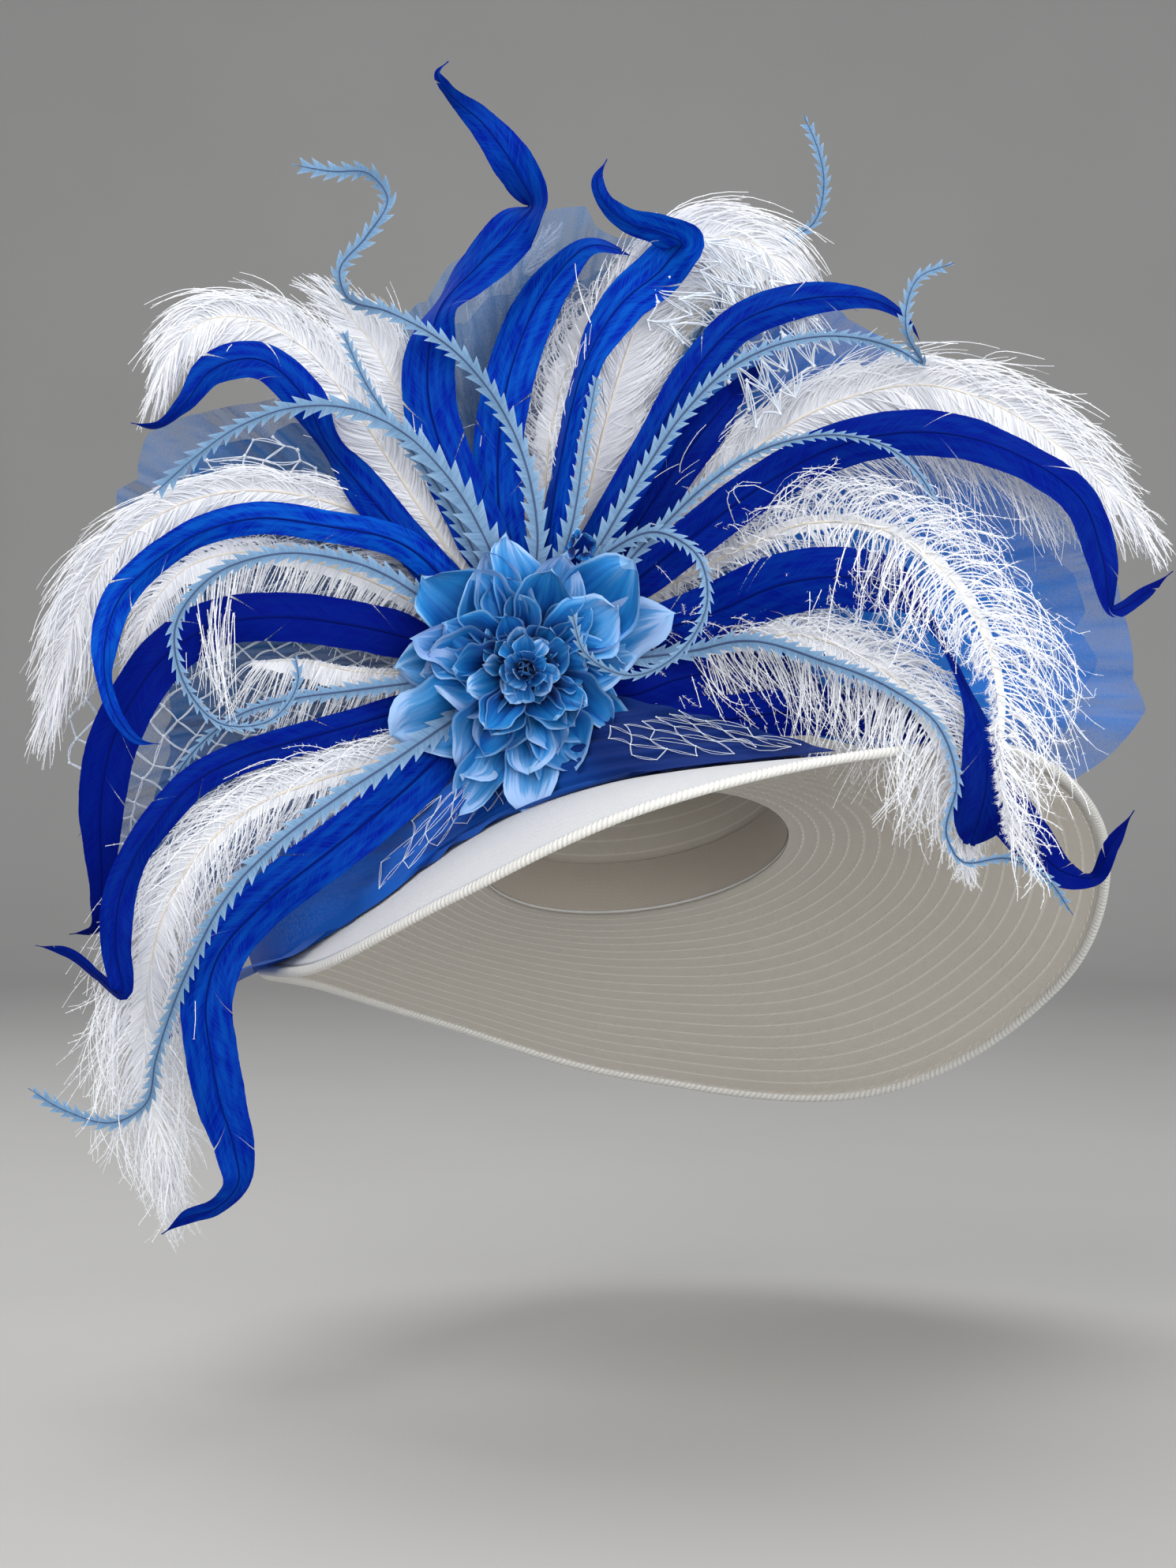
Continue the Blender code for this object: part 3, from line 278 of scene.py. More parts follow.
# How a plume's barbs lie. per_mm: pairs of barbs to a millimetre of shaft. length: in half widths
# of the plume. lean and later: degrees from the shaft, at the barb's root and its tip. droop: fall,
# as a share of the length. hook and wave: curl at the tip and bends on the way, in radians. loose:
# share of stray barbs. width: of a barb, in millimetres. fringe: barbules on each side of a barb.
# fuzz: their length in millimetres. short: how much shorter the last barbs are, as a share.
# vane: the share of the barbs that lies closed beside the shaft.
PlumeStyle = namedtuple(
    "PlumeStyle", "per_mm length lean later droop hook wave loose width fringe fuzz short vane")
SILKY = PlumeStyle(
    per_mm=1.65, length=2.05, lean=48, later=13, droop=0.16, hook=0.25, wave=0.13, loose=0.05,
    width=0.85, fringe=8, fuzz=1.0, short=0.52, vane=0.60)
CURLY = PlumeStyle(
    per_mm=1.45, length=2.15, lean=60, later=26, droop=0.36, hook=1.15, wave=0.48, loose=0.25,
    width=0.72, fringe=12, fuzz=1.4, short=0.52, vane=0.20)
PLUME_STYLES = {
    "plume_crest": CURLY._replace(loose=0.1, fuzz=1.8),
    "plume_hanging": CURLY._replace(loose=0.12, fuzz=1.8, lean=54),
    "plume_over_brim": CURLY._replace(
        length=2.6, lean=70, later=50, hook=1.7, wave=0.8, loose=0.5, width=0.85, fuzz=2.4,
        per_mm=1.15, vane=0.08),
    "plume_on_brim": CURLY._replace(
        length=2.2, lean=64, later=36, hook=1.4, droop=0.5, loose=0.25, fuzz=2.0, short=0.80,
        vane=0.15),
    "plume_arch_left": CURLY._replace(lean=70, later=52, droop=0.4, hook=0.6, wave=0.28, loose=0.04),
    "plume_short_left": CURLY._replace(lean=72, later=58, droop=0.5, hook=0.6, wave=0.28, loose=0.04),
    "plume_arch_right": SILKY._replace(short=0.62, wave=0.26, hook=0.45, loose=0.1),
    "plume_far_left": SILKY._replace(length=2.35, lean=42, later=8, short=0.35),
}

# Sides whose barbs differ: 1 for the clockwise side, their length along the shaft, their sag
# and how far forward the long ones stand, as a share of their extra length
Side = namedtuple("Side", "side keys sag ahead")
SIDES = {
    "plume_over_brim": [Side(1, [
        (0, 1), (0.36, 1), (0.43, 0.8), (0.62, 0.75), (0.72, 0.35), (0.80, 0.12), (1, 0.1)], 1, 0)],
    "plume_arch_right": [Side(1, [(0, 1), (0.30, 1), (0.38, 1.35), (0.60, 1.2), (1, 1)], 2.2, 0)],
    "plume_arch_left": [
        Side(-1, [(0, 0.66), (0.60, 0.72), (0.64, 1.4), (0.73, 1.4), (0.78, 1), (1, 1)], 2, 1.1),
        Side(1, [(0, 0.75), (1, 0.6)], 1.5, 0)],
    "plume_hanging": [Side(-1, [(0, 0.5), (0.45, 0.6), (0.6, 1), (1, 1)], 1, 0)],
    "plume_short_left": [
        Side(-1, [(0, 1.2), (1, 1.2)], 1.4, 0), Side(1, [(0, 0.6), (0.5, 0.5), (1, 0.2)], 3, 0)],
}

# Cloth and net fans: angle in degrees and reach in pixels from the hub, forward and bulge in mm
Fan = namedtuple("Fan", "root rows")
FANS = {
    "tulle_right": Fan(58, [
        (-13, 700, 30, 30), (-2, 790, 40, 25), (8, 778, 50, 17), (17, 738, 57, 6),
        (28, 650, 56, 0), (44, 620, 50, 0), (58, 618, 46, 0)]),
    "tulle_top": Fan(50, [
        (74, 582, 40, 0), (88, 574, 41, 0), (98, 530, 42, 0), (106, 478, 43, 0),
        (120, 420, 44, 0)]),
    "tulle_left": Fan(50, [
        (130, 460, 52, 0), (144, 552, 62, 0), (158, 562, 70, 0), (172, 500, 74, 0),
        (188, 520, 76, 0), (204, 600, 80, 0), (216, 600, 88, 0)]),
    "net_right": Fan(60.5, [
        (-3, 470, 90, 14), (9, 500, 86, 11), (20, 480, 76, 4), (30, 430, 60, 0)]),
    "net_top": Fan(60, [(50, 590, 56, 0), (58, 620, 54, 0), (66, 600, 52, 0)]),
    "net_left": Fan(58, [
        (164, 520, 84, 0), (178, 560, 86, 0), (192, 590, 90, 0), (205, 560, 92, 0)]),
    "net_upper_left": Fan(56, [
        (136, 430, 64, 0), (146, 480, 72, 0), (156, 500, 79, 0), (164, 520, 82, 0)]),
    "net_crest": Fan(60, [(46, 560, 92, 0), (54, 590, 90, 0), (62, 605, 86, 0), (71, 600, 82, 0)]),
}

# The layers of tulle: the fan that it follows, how far back in mm, reach as a share, pleats,
# depth of the ruffle in mm, and its flat size (width, length) and area
Layer = namedtuple("Layer", "fan back reach pleats ruffle flat area")
TULLE_LAYERS = {
    "tulle_right": Layer("tulle_right", 0, 1.0, 5, 10, (0.50, 0.36), 0.070),
    "tulle_right_middle": Layer("tulle_right", 6, 0.90, 7, 6, (0.50, 0.33), 0.060),
    "tulle_right_inner": Layer("tulle_right", 11, 0.80, 6, 5, (0.45, 0.30), 0.046),
    "tulle_top": Layer("tulle_top", 0, 1.0, 4, 8, (0.25, 0.26), 0.026),
    "tulle_top_inner": Layer("tulle_top", 4, 0.88, 5, 6, (0.25, 0.24), 0.0215),
    "tulle_left": Layer("tulle_left", 0, 1.0, 6, 9, (0.45, 0.27), 0.052),
    "tulle_left_inner": Layer("tulle_left", 4, 0.88, 7, 8, (0.45, 0.25), 0.039),
}

# Each tulle's name, colour, how much it covers and how much of that it loses at its free edge
TULLE_LOOKS = {
    "tulle_right": ("royal_tulle", (0.002, 0.16, 0.60), 0.56, 0.30),
    "tulle_top": ("grey_blue_tulle", (0.08, 0.20, 0.42), 0.28),
    "tulle_left": ("sheer_tulle", (0.03, 0.15, 0.42), 0.28, 0.10),
    "tulle_left_inner": ("deep_tulle", (0.006, 0.11, 0.34), 0.50),
}

# The wrap's edge on the brim, and the front swath's: bearing in degrees, share of the brim
WRAP_EDGE = [
    (-98, 1.0), (-80, 1.0), (-72, 0.96), (-63, 0.82), (-51, 0.68), (-40, 0.50), (-30, 0.40),
    (-13, 0.38), (3, 0.42), (20, 0.58), (35, 0.66), (52, 0.64), (66, 0.60),
]
SWATH_EDGE = [
    (-90, 1.07), (-76, 1.0), (-63, 0.82), (-51, 0.70), (-45, 0.30), (-30, 0.23), (-13, 0.28),
    (3, 0.43), (21, 0.64), (28, 0.87),
]

# The swath's root: the turns round the hub where it starts and ends, in degrees, and how far
# forward it is in millimetres
SWATH_TURNS = (206, 338)
SWATH_ROOT = 78

# The nets: fan, size of a cell in picture pixels, flat size in metres and the nodes that each
# stands for. The patches on the swath: name, first and last share of the swath's length. Then the
# radius of a net's thread and of a patch's, in metres.
NETS = [
    ("net_right", 30, (0.20, 0.19), ["net_right"]),
    ("net_top", 32, (0.10, 0.22), ["net_top"]),
    ("net_left", 31, (0.22, 0.22), ["net_left"]),
    ("net_upper_left", 31, (0.14, 0.19), []),
]
NET_PATCHES = [("net_front_left", 0.26, 0.50), ("net_front_right", 0.77, 0.975)]
NET_THREAD = 0.00042
FINE_THREAD = 0.00016

# The dahlia's two outer rings: direction in degrees, reach and width in millimetres
OUTER_PETALS = [
    (133, 75, 42), (110, 66, 30), (89, 73, 29), (66, 67, 32), (42, 81, 43), (19, 85, 36),
    (0, 62, 30), (-18, 62, 31), (-48, 79, 38), (-68, 80, 29), (-86, 77, 31), (-106, 85, 29),
    (-127, 68, 34), (-148, 80, 45), (176, 70, 43), (156, 62, 30),
]
MIDDLE_PETALS = [
    (122, 58, 36), (98, 53, 28), (76, 56, 30), (33, 60, 37), (7, 54, 29), (-34, 56, 33),
    (-64, 60, 37), (-89, 56, 31), (-113, 52, 28), (-135, 58, 35), (-167, 56, 34), (166, 53, 34),
    (144, 50, 28), (54, 50, 26),
]

# Rings of petals: height at the root and at the tip and depth of the cup, in millimetres; then
# either the number of petals, their reach and width and the first one's direction, or their list
Ring = namedtuple(
    "Ring", "root tip cup petals reach width first listed", defaults=[0, 0, 0, 0, None])
DAHLIA = [
    Ring(0.8, 12, 6, listed=OUTER_PETALS), Ring(2.4, 20, 8, listed=MIDDLE_PETALS),
    Ring(4, 27, 8, 9, 44, 24, 5), Ring(5.5, 32, 7, 8, 32, 17, 20), Ring(7, 35, 5, 8, 22, 12, 50),
]
HEART = [
    Ring(22, 33, 4, 8, 17, 10, 0), Ring(23, 37, 4, 8, 11, 9, 33), Ring(25, 40, 4, 6, 5.5, 8, 11),
    Ring(27, 42, 4, 5, 1, 7, 50),
]
BUD = Ring(6, 7, 3, 7, 9, 7, 0)

# Where the bud is, in picture pixels
BUD_CENTRE = (737, 692)

# The dome under the heart's petals: radius and height in millimetres
HEART_CORE = [(3.0, 7.6), (5.0, 14), (5.4, 22), (4.2, 28), (2.4, 30), (0.6, 31)]

# The lamps: name, place, size in metres, power in watts and colour; and the point that they face
LAMPS = [
    ("key", (-1.1, -2.0, 1.9), 1.6, 39, (1, 0.985, 0.96)),
    ("front", (0.1, -2.6, 0.7), 1.4, 13, (1, 1, 1)),
    ("fill", (1.9, -1.6, 0.9), 1.8, 20, (0.97, 0.985, 1)),
    ("top", (0.1, 0.1, 2.4), 1.8, 25, (1, 1, 1)),
    ("back", (-1.2, 1.0, 1.4), 1.2, 10, (1, 1, 1)),
    ("low", (0.9, -2.0, -0.2), 1.6, 23, (1, 0.99, 0.97)),
]
LIT_POINT = (0, -0.05, 0.1)


def hermite(at, keys, values):
    """Values on a smooth curve through rows of keys and values, at many keys at once."""
    keys, values, at = (np.asarray(x, float) for x in (keys, values, at))
    slopes = np.gradient(values, keys, axis=0)
    i = np.clip(np.searchsorted(keys, at) - 1, 0, len(keys) - 2)
    span = (keys[i + 1] - keys[i])[:, None]
    t = (at - keys[i])[:, None] / span
    return (
        (2 * t**3 - 3 * t**2 + 1) * values[i]
        + (t**3 - 2 * t**2 + t) * span * slopes[i]
        + (3 * t**2 - 2 * t**3) * values[i + 1]
        + (t**3 - t**2) * span * slopes[i + 1]
    )


def curve(at, rows):
    """The columns of a table on a smooth curve through its rows; the first column is the key."""
    rows = np.array(rows, float)
    return hermite(at, rows[:, 0], rows[:, 1:])


def straight(at, rows):
    """The second column of a table on straight lines between its rows."""
    return np.interp(at, *zip(*rows))


def smoothstep(x):
    x = np.clip(x, 0, 1)
    return x * x * (3 - 2 * x)


def unit(v):
    return v / np.maximum(np.linalg.norm(v, axis=-1, keepdims=True), 1e-12)


def alike(*values):
    """The values as arrays of one shape."""
    return np.broadcast_arrays(*(np.asarray(x, float) for x in values))


def ripple(x, seed, octaves=4):
    """Smooth noise from -1 to 1 along x, one unit to a bump."""
    rng = np.random.default_rng(seed)
    total, size = 0.0, 0.0
    for k in range(octaves):
        total = total + np.sin(x * (0.9 + 1.1 * k) + rng.uniform(0, 6.3)) / (1 + k)
        size += 1 / (1 + k)
    return total / size


def running(points):
    """How far along a line of points each one lies, in millimetres."""
    steps = np.linalg.norm(np.diff(points, axis=0), axis=1) * 1000
    return np.concatenate([[0], np.cumsum(steps)])


def worn():
    """The turn from the hat's own frame to how it sits on the head."""
    turned = Matrix.Rotation(-TIPPED_BACK, 4, "X") @ Matrix.Rotation(-TIPPED_SIDEWAYS, 4, "Y")
    return np.array(turned)[:3, :3]


WORN = worn()
EYE = np.array([
    (VIEW_MIDDLE[0] - OPENING_SEEN_AT[0]) * PIXEL,
    -EYE_DISTANCE,
    (OPENING_SEEN_AT[1] - VIEW_MIDDLE[1]) * PIXEL,
])


def tip(points):
    """From the hat's own frame to how it sits on the head."""
    return points @ WORN.T


def seen_at(across, down, forward_mm):
    """The points seen at picture pixels, so many millimetres in front of the crown's axis."""
    across, down, forward_mm = alike(across, down, forward_mm)
    plane = np.stack([
        (across - OPENING_SEEN_AT[0]) * PIXEL,
        np.zeros_like(across),
        (OPENING_SEEN_AT[1] - down) * PIXEL,
    ], -1)
    return EYE + (plane - EYE) * (1 - forward_mm / 1000 / EYE_DISTANCE)[..., None]


def round_hub(turn, distance, forward_mm):
    """The points seen round the hub's centre, at a turn in radians and a distance in pixels."""
    across = TRIM_CENTRE[0] + distance * np.cos(turn)
    return seen_at(across, TRIM_CENTRE[1] - distance * np.sin(turn), forward_mm)


def grid(rows, columns, wrap=False):
    """Quads over points in row order."""
    i, j = np.meshgrid(
        np.arange(rows - 1), np.arange(columns if wrap else columns - 1), indexing="ij"
    )
    k = (j + 1) % columns
    a, b = i * columns, (i + 1) * columns
    return np.stack([a + j, a + k, b + k, b + j], -1).reshape(-1, 4)


class Shape:
    """One piece's points, faces and per-point values, gathered part by part."""

    def __init__(self):
        self.points, self.faces, self.values, self.count = [], [], {}, 0

    def add(self, points, faces, **values):
        points = np.asarray(points, float).reshape(-1, 3)
        self.faces.append(np.asarray(faces) + self.count)
        for key, value in values.items():
            spread = np.broadcast_to(np.asarray(value, float).ravel(), (len(points),))
            self.values.setdefault(key, []).append((self.count, spread))
        self.points.append(points)
        self.count += len(points)

    def sheet(self, points, wrap=False, **values):
        """Quads over rows of points, with each row closed to a ring where it wraps."""
        self.add(points, grid(*points.shape[:2], wrap), **values)

    def tube(self, centres, radii, sides, **values):
        """A round tube along a line."""
        along = unit(np.gradient(centres, axis=0))
        first = unit(np.cross(along, (0.13, -0.97, 0.21)))
        second = np.cross(along, first)
        turn = (np.arange(sides) * 2 * math.pi / sides)[:, None]
        ring = first[:, None] * np.cos(turn) + second[:, None] * np.sin(turn)
        self.sheet(centres[:, None] + ring * radii[:, None, None], True, **values)

    def ribbons(self, paths, sides, widths, **values):
        """Flat ribbons: paths (n, steps, 3), sides (n, steps, 3), widths (n, steps) in metres."""
        n, steps = paths.shape[:2]
        half = sides * widths[..., None] / 2
        base = (np.arange(n) * steps * 2)[:, None] + (np.arange(steps - 1) * 2)[None]
        faces = np.stack([base, base + 1, base + 3, base + 2], -1).reshape(-1, 4)
        spread = {
            key: np.repeat(np.broadcast_to(value, (n, steps)).ravel(), 2)
            for key, value in values.items()
        }
        self.add(np.stack([paths + half, paths - half], 2), faces, **spread)

    def spikes(self, roots, along, tips, width, **values):
        """Single thin triangles from roots to tips."""
        n, half = len(roots), along * width / 2
        spread = {key: np.repeat(np.broadcast_to(value, n), 3) for key, value in values.items()}
        points = np.stack([roots - half, roots + half, tips], 1)
        self.add(points, np.arange(3 * n).reshape(-1, 3), **spread)

    def piece(self, name, finish, slot, *nodes):
        """The finished mesh as a piece that rides with the hat and takes its nodes' places."""
        mesh = bpy.data.meshes.new(name)
        points = np.concatenate(self.points).astype(np.float32)
        corners = np.concatenate([f.ravel() for f in self.faces]).astype(np.int32)
        sizes = np.concatenate([np.full(len(f), f.shape[1]) for f in self.faces])
        starts = np.concatenate([[0], np.cumsum(sizes)[:-1]]).astype(np.int32)
        mesh.vertices.add(len(points))
        mesh.vertices.foreach_set("co", points.ravel())
        mesh.loops.add(len(corners))
        mesh.loops.foreach_set("vertex_index", corners)
        mesh.polygons.add(len(sizes))
        mesh.polygons.foreach_set("loop_start", starts)
        mesh.update(calc_edges=True)
        mesh.shade_smooth()
        for key, parts in self.values.items():
            whole = np.zeros(len(points), np.float32)
            for start, value in parts:
                whole[start:start + len(value)] = value
            mesh.attributes.new(key, "FLOAT", "POINT").data.foreach_set("value", whole)
        mesh.materials.append(finish)
        made = placed(name, mesh)
        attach(made, "root")
        if nodes:
            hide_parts(*nodes)
        return made


def placed(name, data, location=(0, 0, 0), turned=(0, 0, 0)):
    """A new object in the scene."""
    made = bpy.data.objects.new(name, data)
    made.location = location
    made.rotation_euler = turned
    bpy.context.scene.collection.objects.link(made)
    return made


class Look:
    """A node material, built up from per-point values."""

    def __init__(self, name, **constants):
        self.material = bpy.data.materials.new(name)
        self.material.use_nodes = True
        self.tree = self.material.node_tree
        self.shader = self.tree.nodes["Principled BSDF"]
        for key, value in constants.items():
            self.shader.inputs[key.replace("_", " ")].default_value = value

    def node(self, kind, settings=None, **inputs):
        made = self.tree.nodes.new("ShaderNode" + kind)
        for key, value in (settings or {}).items():
            setattr(made, key, value)
        for key, value in inputs.items():
            self.put(made.inputs[key], value)
        return made

    def put(self, socket, value):
        if isinstance(value, bpy.types.NodeSocket):
            self.tree.links.new(value, socket)
        else:
            socket.default_value = value

    def values(self, names):
        """The per-point values of these names."""
        return [
            self.node("Attribute", {"attribute_name": name}).outputs["Fac"] for name in names.split()
        ]

    def calc(self, operation, a, b=0.0, c=0.0):
        made = self.node("Math", {"operation": operation})
        for socket, value in zip(made.inputs, (a, b, c)):
            self.put(socket, value)
        return made.outputs[0]

    def times(self, a, b):
        return self.calc("MULTIPLY", a, b)

    def fit(self, a, times, plus):
        """A value multiplied and added to."""
        return self.calc("MULTIPLY_ADD", a, times, plus)

    def vector(self, x=0.0, y=0.0, z=0.0):
        return self.node("CombineXYZ", X=x, Y=y, Z=z).outputs[0]

    def place(self):
        return self.node("TexCoord").outputs["Object"]

    def noise(self, vector, scale, detail=3.0, roughness=0.55):
        made = self.node("TexNoise", Vector=vector, Scale=scale, Detail=detail, Roughness=roughness)
        return made.outputs["Fac"]

    def wave(self, vector, scale, distortion=0.0):
        made = self.node("TexWave", Vector=vector, Scale=scale, Distortion=distortion)
        return made.outputs["Fac"]

    def ramp(self, fac, *stops):
        made = self.node("ValToRGB", Fac=fac)
        elements = made.color_ramp.elements
        while len(elements) < len(stops):
            elements.new(0.5)
        for element, (position, colour) in zip(elements, stops):
            element.position = position
            element.color = (*colour, 1)
        return made.outputs["Color"]

    def mix(self, fac, a, b, blend="MIX"):
        made = self.node("Mix", {"data_type": "RGBA", "blend_type": blend})
        self.put(made.inputs["Factor"], fac)
        for socket, value in ((made.inputs[6], a), (made.inputs[7], b)):
            self.put(socket, value if isinstance(value, bpy.types.NodeSocket) else (*value, 1))
        return made.outputs[2]

    def finish(self, colour, rough, height, distance, strength=1.0, alpha=None):
        for key, value in (("Base Color", colour), ("Roughness", rough), ("Alpha", alpha)):
            if value is not None:
                self.put(self.shader.inputs[key], value)
        if height is not None:
            bump = self.node("Bump", Height=height, Strength=strength, Distance=distance)
            self.put(self.shader.inputs["Normal"], bump.outputs["Normal"])
        return self.material


def straw_look():
    """Fine sewn braid: crossed threads, bright on top; underneath, warmer and duller painted shade,
    warmed as if light came through the straw.
    """
    look = Look("sewn_straw", Roughness=0.55, Sheen_Weight=0.1, Specular_IOR_Level=0.3)
    around, row, under = look.values("around row under")
    out = look.times(row, 9.0)
    threads = (look.vector(look.calc(way, out, around)) for way in ("ADD", "SUBTRACT"))
    weave = look.calc("MAXIMUM", *(look.wave(thread, 0.30, 0.4) for thread in threads))
    spread = look.noise(look.vector(around, out), 0.10, 4)
    fine = look.noise(look.place(), 900, 2)
    seam = look.calc("PINGPONG", row, 0.5)
    seam = look.calc("SMOOTH_MIN", look.times(seam, 9.0), 1.0, 0.3)
    worked = look.fit(fine, 0.6, look.times(weave, 0.4))
    top = look.mix(worked, (0.84, 0.85, 0.85), (1.0, 1.0, 1.0))
    # The underside's colour is painted shade on the same white straw, warmed as if light came through
    # it
    painted_shade_below = look.mix(weave, (0.60, 0.555, 0.485), (0.74, 0.695, 0.62))
    painted_shade_below = look.mix(look.times(spread, 0.4), painted_shade_below, (0.62, 0.57, 0.49))
    painted_shade_below = look.mix(seam, (0.86, 0.82, 0.74), painted_shade_below)
    height = look.fit(fine, 1.2, weave)
    return look.finish(look.mix(under, top, painted_shade_below), look.fit(weave, 0.15, 0.42), height, 0.0005, 0.8)


def stitch_look():
    """Pale sewing thread."""
    look = Look("stitch_thread", Roughness=0.4)
    grain = look.noise(look.place(), 1800, 2)
    return look.finish(look.mix(grain, (0.74, 0.70, 0.62), (0.90, 0.88, 0.82)), None, grain, 0.0001)


def cord_look():
    """White twisted strands, with shade painted between them."""
    look = Look("edge_braid", Roughness=0.5)
    twist, = look.values("twist")
    fine = look.noise(look.place(), 1400, 3)
    # Darker between the strands: painted shade in the grooves of the twist
    colour = look.mix(twist, (0.60, 0.59, 0.55), (0.93, 0.93, 0.91))
    colour = look.mix(look.times(fine, 0.25), colour, (0.70, 0.68, 0.62))
    return look.finish(colour, 0.5, look.fit(fine, 0.5, twist), 0.0003)


def band_look():
    """Woven tan cloth, a little worn."""
    look = Look("band_cloth", Roughness=0.75, Sheen_Weight=0.2)
    around, up = look.values("around row")
    weave = look.times(look.wave(look.vector(around), 0.35), look.wave(look.vector(up), 0.5))
    wear = look.noise(look.place(), 40, 4)
    colour = look.mix(weave, (0.40, 0.36, 0.31), (0.62, 0.57, 0.50))
    colour = look.mix(look.times(wear, 0.4), colour, (0.45, 0.40, 0.34))
    return look.finish(colour, None, weave, 0.0002)


def blade_look():
    """Dyed goose: streaks along the barbs, painted satin highlights in broad lighter patches, a thin
    dark shaft.
    """
    look = Look("dyed_goose", Roughness=0.5, Sheen_Weight=0.0, Specular_IOR_Level=0.02)
    barb, across, rib, share, dark = look.values("barb across rib share dark")
    streak = look.noise(look.vector(barb, look.times(across, 0.06)), 1.5, 3, 0.7)
    broad = look.noise(look.vector(look.times(barb, 0.16), across), 0.30, 3)
    colour = look.ramp(
        streak, (0.30, (0.0003, 0.005, 0.20)), (0.50, (0.0006, 0.020, 0.40)),
        (0.74, (0.002, 0.10, 0.60)),
    )
    # Lighter, greener blue in broad patches: painted satin highlights where the vane bends
    painted_highlight = look.ramp(broad, (0.40, (0, 0, 0)), (0.66, (1, 1, 1)))
    colour = look.mix(look.times(painted_highlight, 0.65), colour, (0.003, 0.135, 0.62))
    night = look.mix(streak, (0.0002, 0.001, 0.09), (0.0008, 0.010, 0.27))
    colour = look.mix(dark, colour, night)
    # Darker at the root, painted shade where the blade runs in under the flower; darker at the tip as
    # well
    ends = look.ramp(
        share, (0.0, (0.40, 0.40, 0.5)), (0.16, (1, 1, 1)), (0.84, (1, 1, 1)),
        (1.0, (0.5, 0.45, 0.6)),
    )
    colour = look.mix(1.0, colour, ends, "MULTIPLY")
    colour = look.mix(look.times(rib, 0.8), colour, (0.001, 0.006, 0.11))
    return look.finish(colour, look.fit(streak, 0.2, 0.40), streak, 0.0003, 0.7)


def plume_look():
    """White ostrich: fine lines along the barbs, faint blue painted shade in the hollows between them,
    a tan shaft.
    """
    look = Look("ostrich", Roughness=0.8, Sheen_Weight=0.25, Sheen_Roughness=0.6)
    rib, tint, barb = look.values("rib tint barb")
    colour = look.mix(tint, (0.76, 0.79, 0.86), (0.94, 0.945, 0.96))
    # Faint blue-grey lines along the barbs: painted shade in the hollows between them
    line = look.noise(look.vector(barb), 1.9, 3, 0.8)
    line = look.ramp(line, (0.36, (1, 1, 1)), (0.52, (0, 0, 0)))
    colour = look.mix(look.times(line, 0.32), colour, (0.66, 0.71, 0.82))
    mottle = look.noise(look.place(), 60, 2)
    colour = look.mix(look.times(mottle, 0.2), colour, (0.86, 0.88, 0.92))
    colour = look.mix(rib, colour, (0.80, 0.73, 0.62))
    return look.finish(colour, None, line, 0.0002, 0.6)


def quill_look():
    """Pale blue quill: streaks along its barbs, lighter at the teeth's ends, a dark shaft."""
    look = Look("cut_quill", Roughness=0.55, Sheen_Weight=0.1, Specular_IOR_Level=0.25)
    barb, across, rib, share = look.values("barb across rib share")
    streak = look.noise(look.vector(barb, look.times(across, 0.05)), 1.8, 3, 0.7)
    colour = look.ramp(
        streak, (0.30, (0.085, 0.18, 0.32)), (0.55, (0.16, 0.30, 0.49)), (0.8, (0.28, 0.45, 0.65))
    )
    ends = look.times(look.calc("POWER", share, 3.0), 0.6)
    colour = look.mix(ends, colour, (0.38, 0.56, 0.78))
    colour = look.mix(rib, colour, (0.05, 0.085, 0.19))
    return look.finish(colour, None, streak, 0.00025, 0.8)


def petal_look():
    """Printed cloth: deep at the throat, partly print and partly painted shade, with painted shade in
    the cupped middle and on the inner rings; pale and streaked outwards, with a fine light edge.
    """
    look = Look("petal_silk", Roughness=0.5, Sheen_Weight=0.05, Specular_IOR_Level=0.2)
    along, across, tint, inner = look.values("share across tint inner")
    spread = look.vector(look.times(across, 3.0), look.times(along, 0.9), look.times(tint, 9.0))
    veins = look.noise(spread, 1.1, 5, 0.6)
    weave = look.noise(look.place(), 1500, 2)
    wide = look.calc("ABSOLUTE", across)
    # Deep at the throat: partly print, partly painted shade where the petals overlap
    shade = look.fit(look.calc("SUBTRACT", veins, 0.5), 1.1, along)
    shade = look.fit(look.calc("SUBTRACT", tint, 0.5), 0.36, shade)
    # Lighter towards the sides, darker in the cupped middle: painted shade
    shade = look.fit(look.calc("POWER", wide, 3.0), 0.22, shade)
    # Inner rings darker: painted shade deep in the flower
    shade = look.fit(shade, 0.95, look.times(inner, -0.12))
    colour = look.ramp(
        shade, (0.20, (0.0006, 0.014, 0.12)), (0.42, (0.002, 0.095, 0.39)),
        (0.70, (0.012, 0.20, 0.54)), (0.90, (0.10, 0.32, 0.66)), (1.0, (0.34, 0.52, 0.84)),
    )
    edges = look.calc("GREATER_THAN", wide, 0.92), look.calc("GREATER_THAN", along, 0.955)
    rim = look.times(look.calc("MAXIMUM", *edges), look.times(along, 0.66))
    colour = look.mix(rim, colour, (0.30, 0.55, 0.86))
    return look.finish(colour, None, look.fit(weave, 0.2, veins), 0.0006, 0.8)


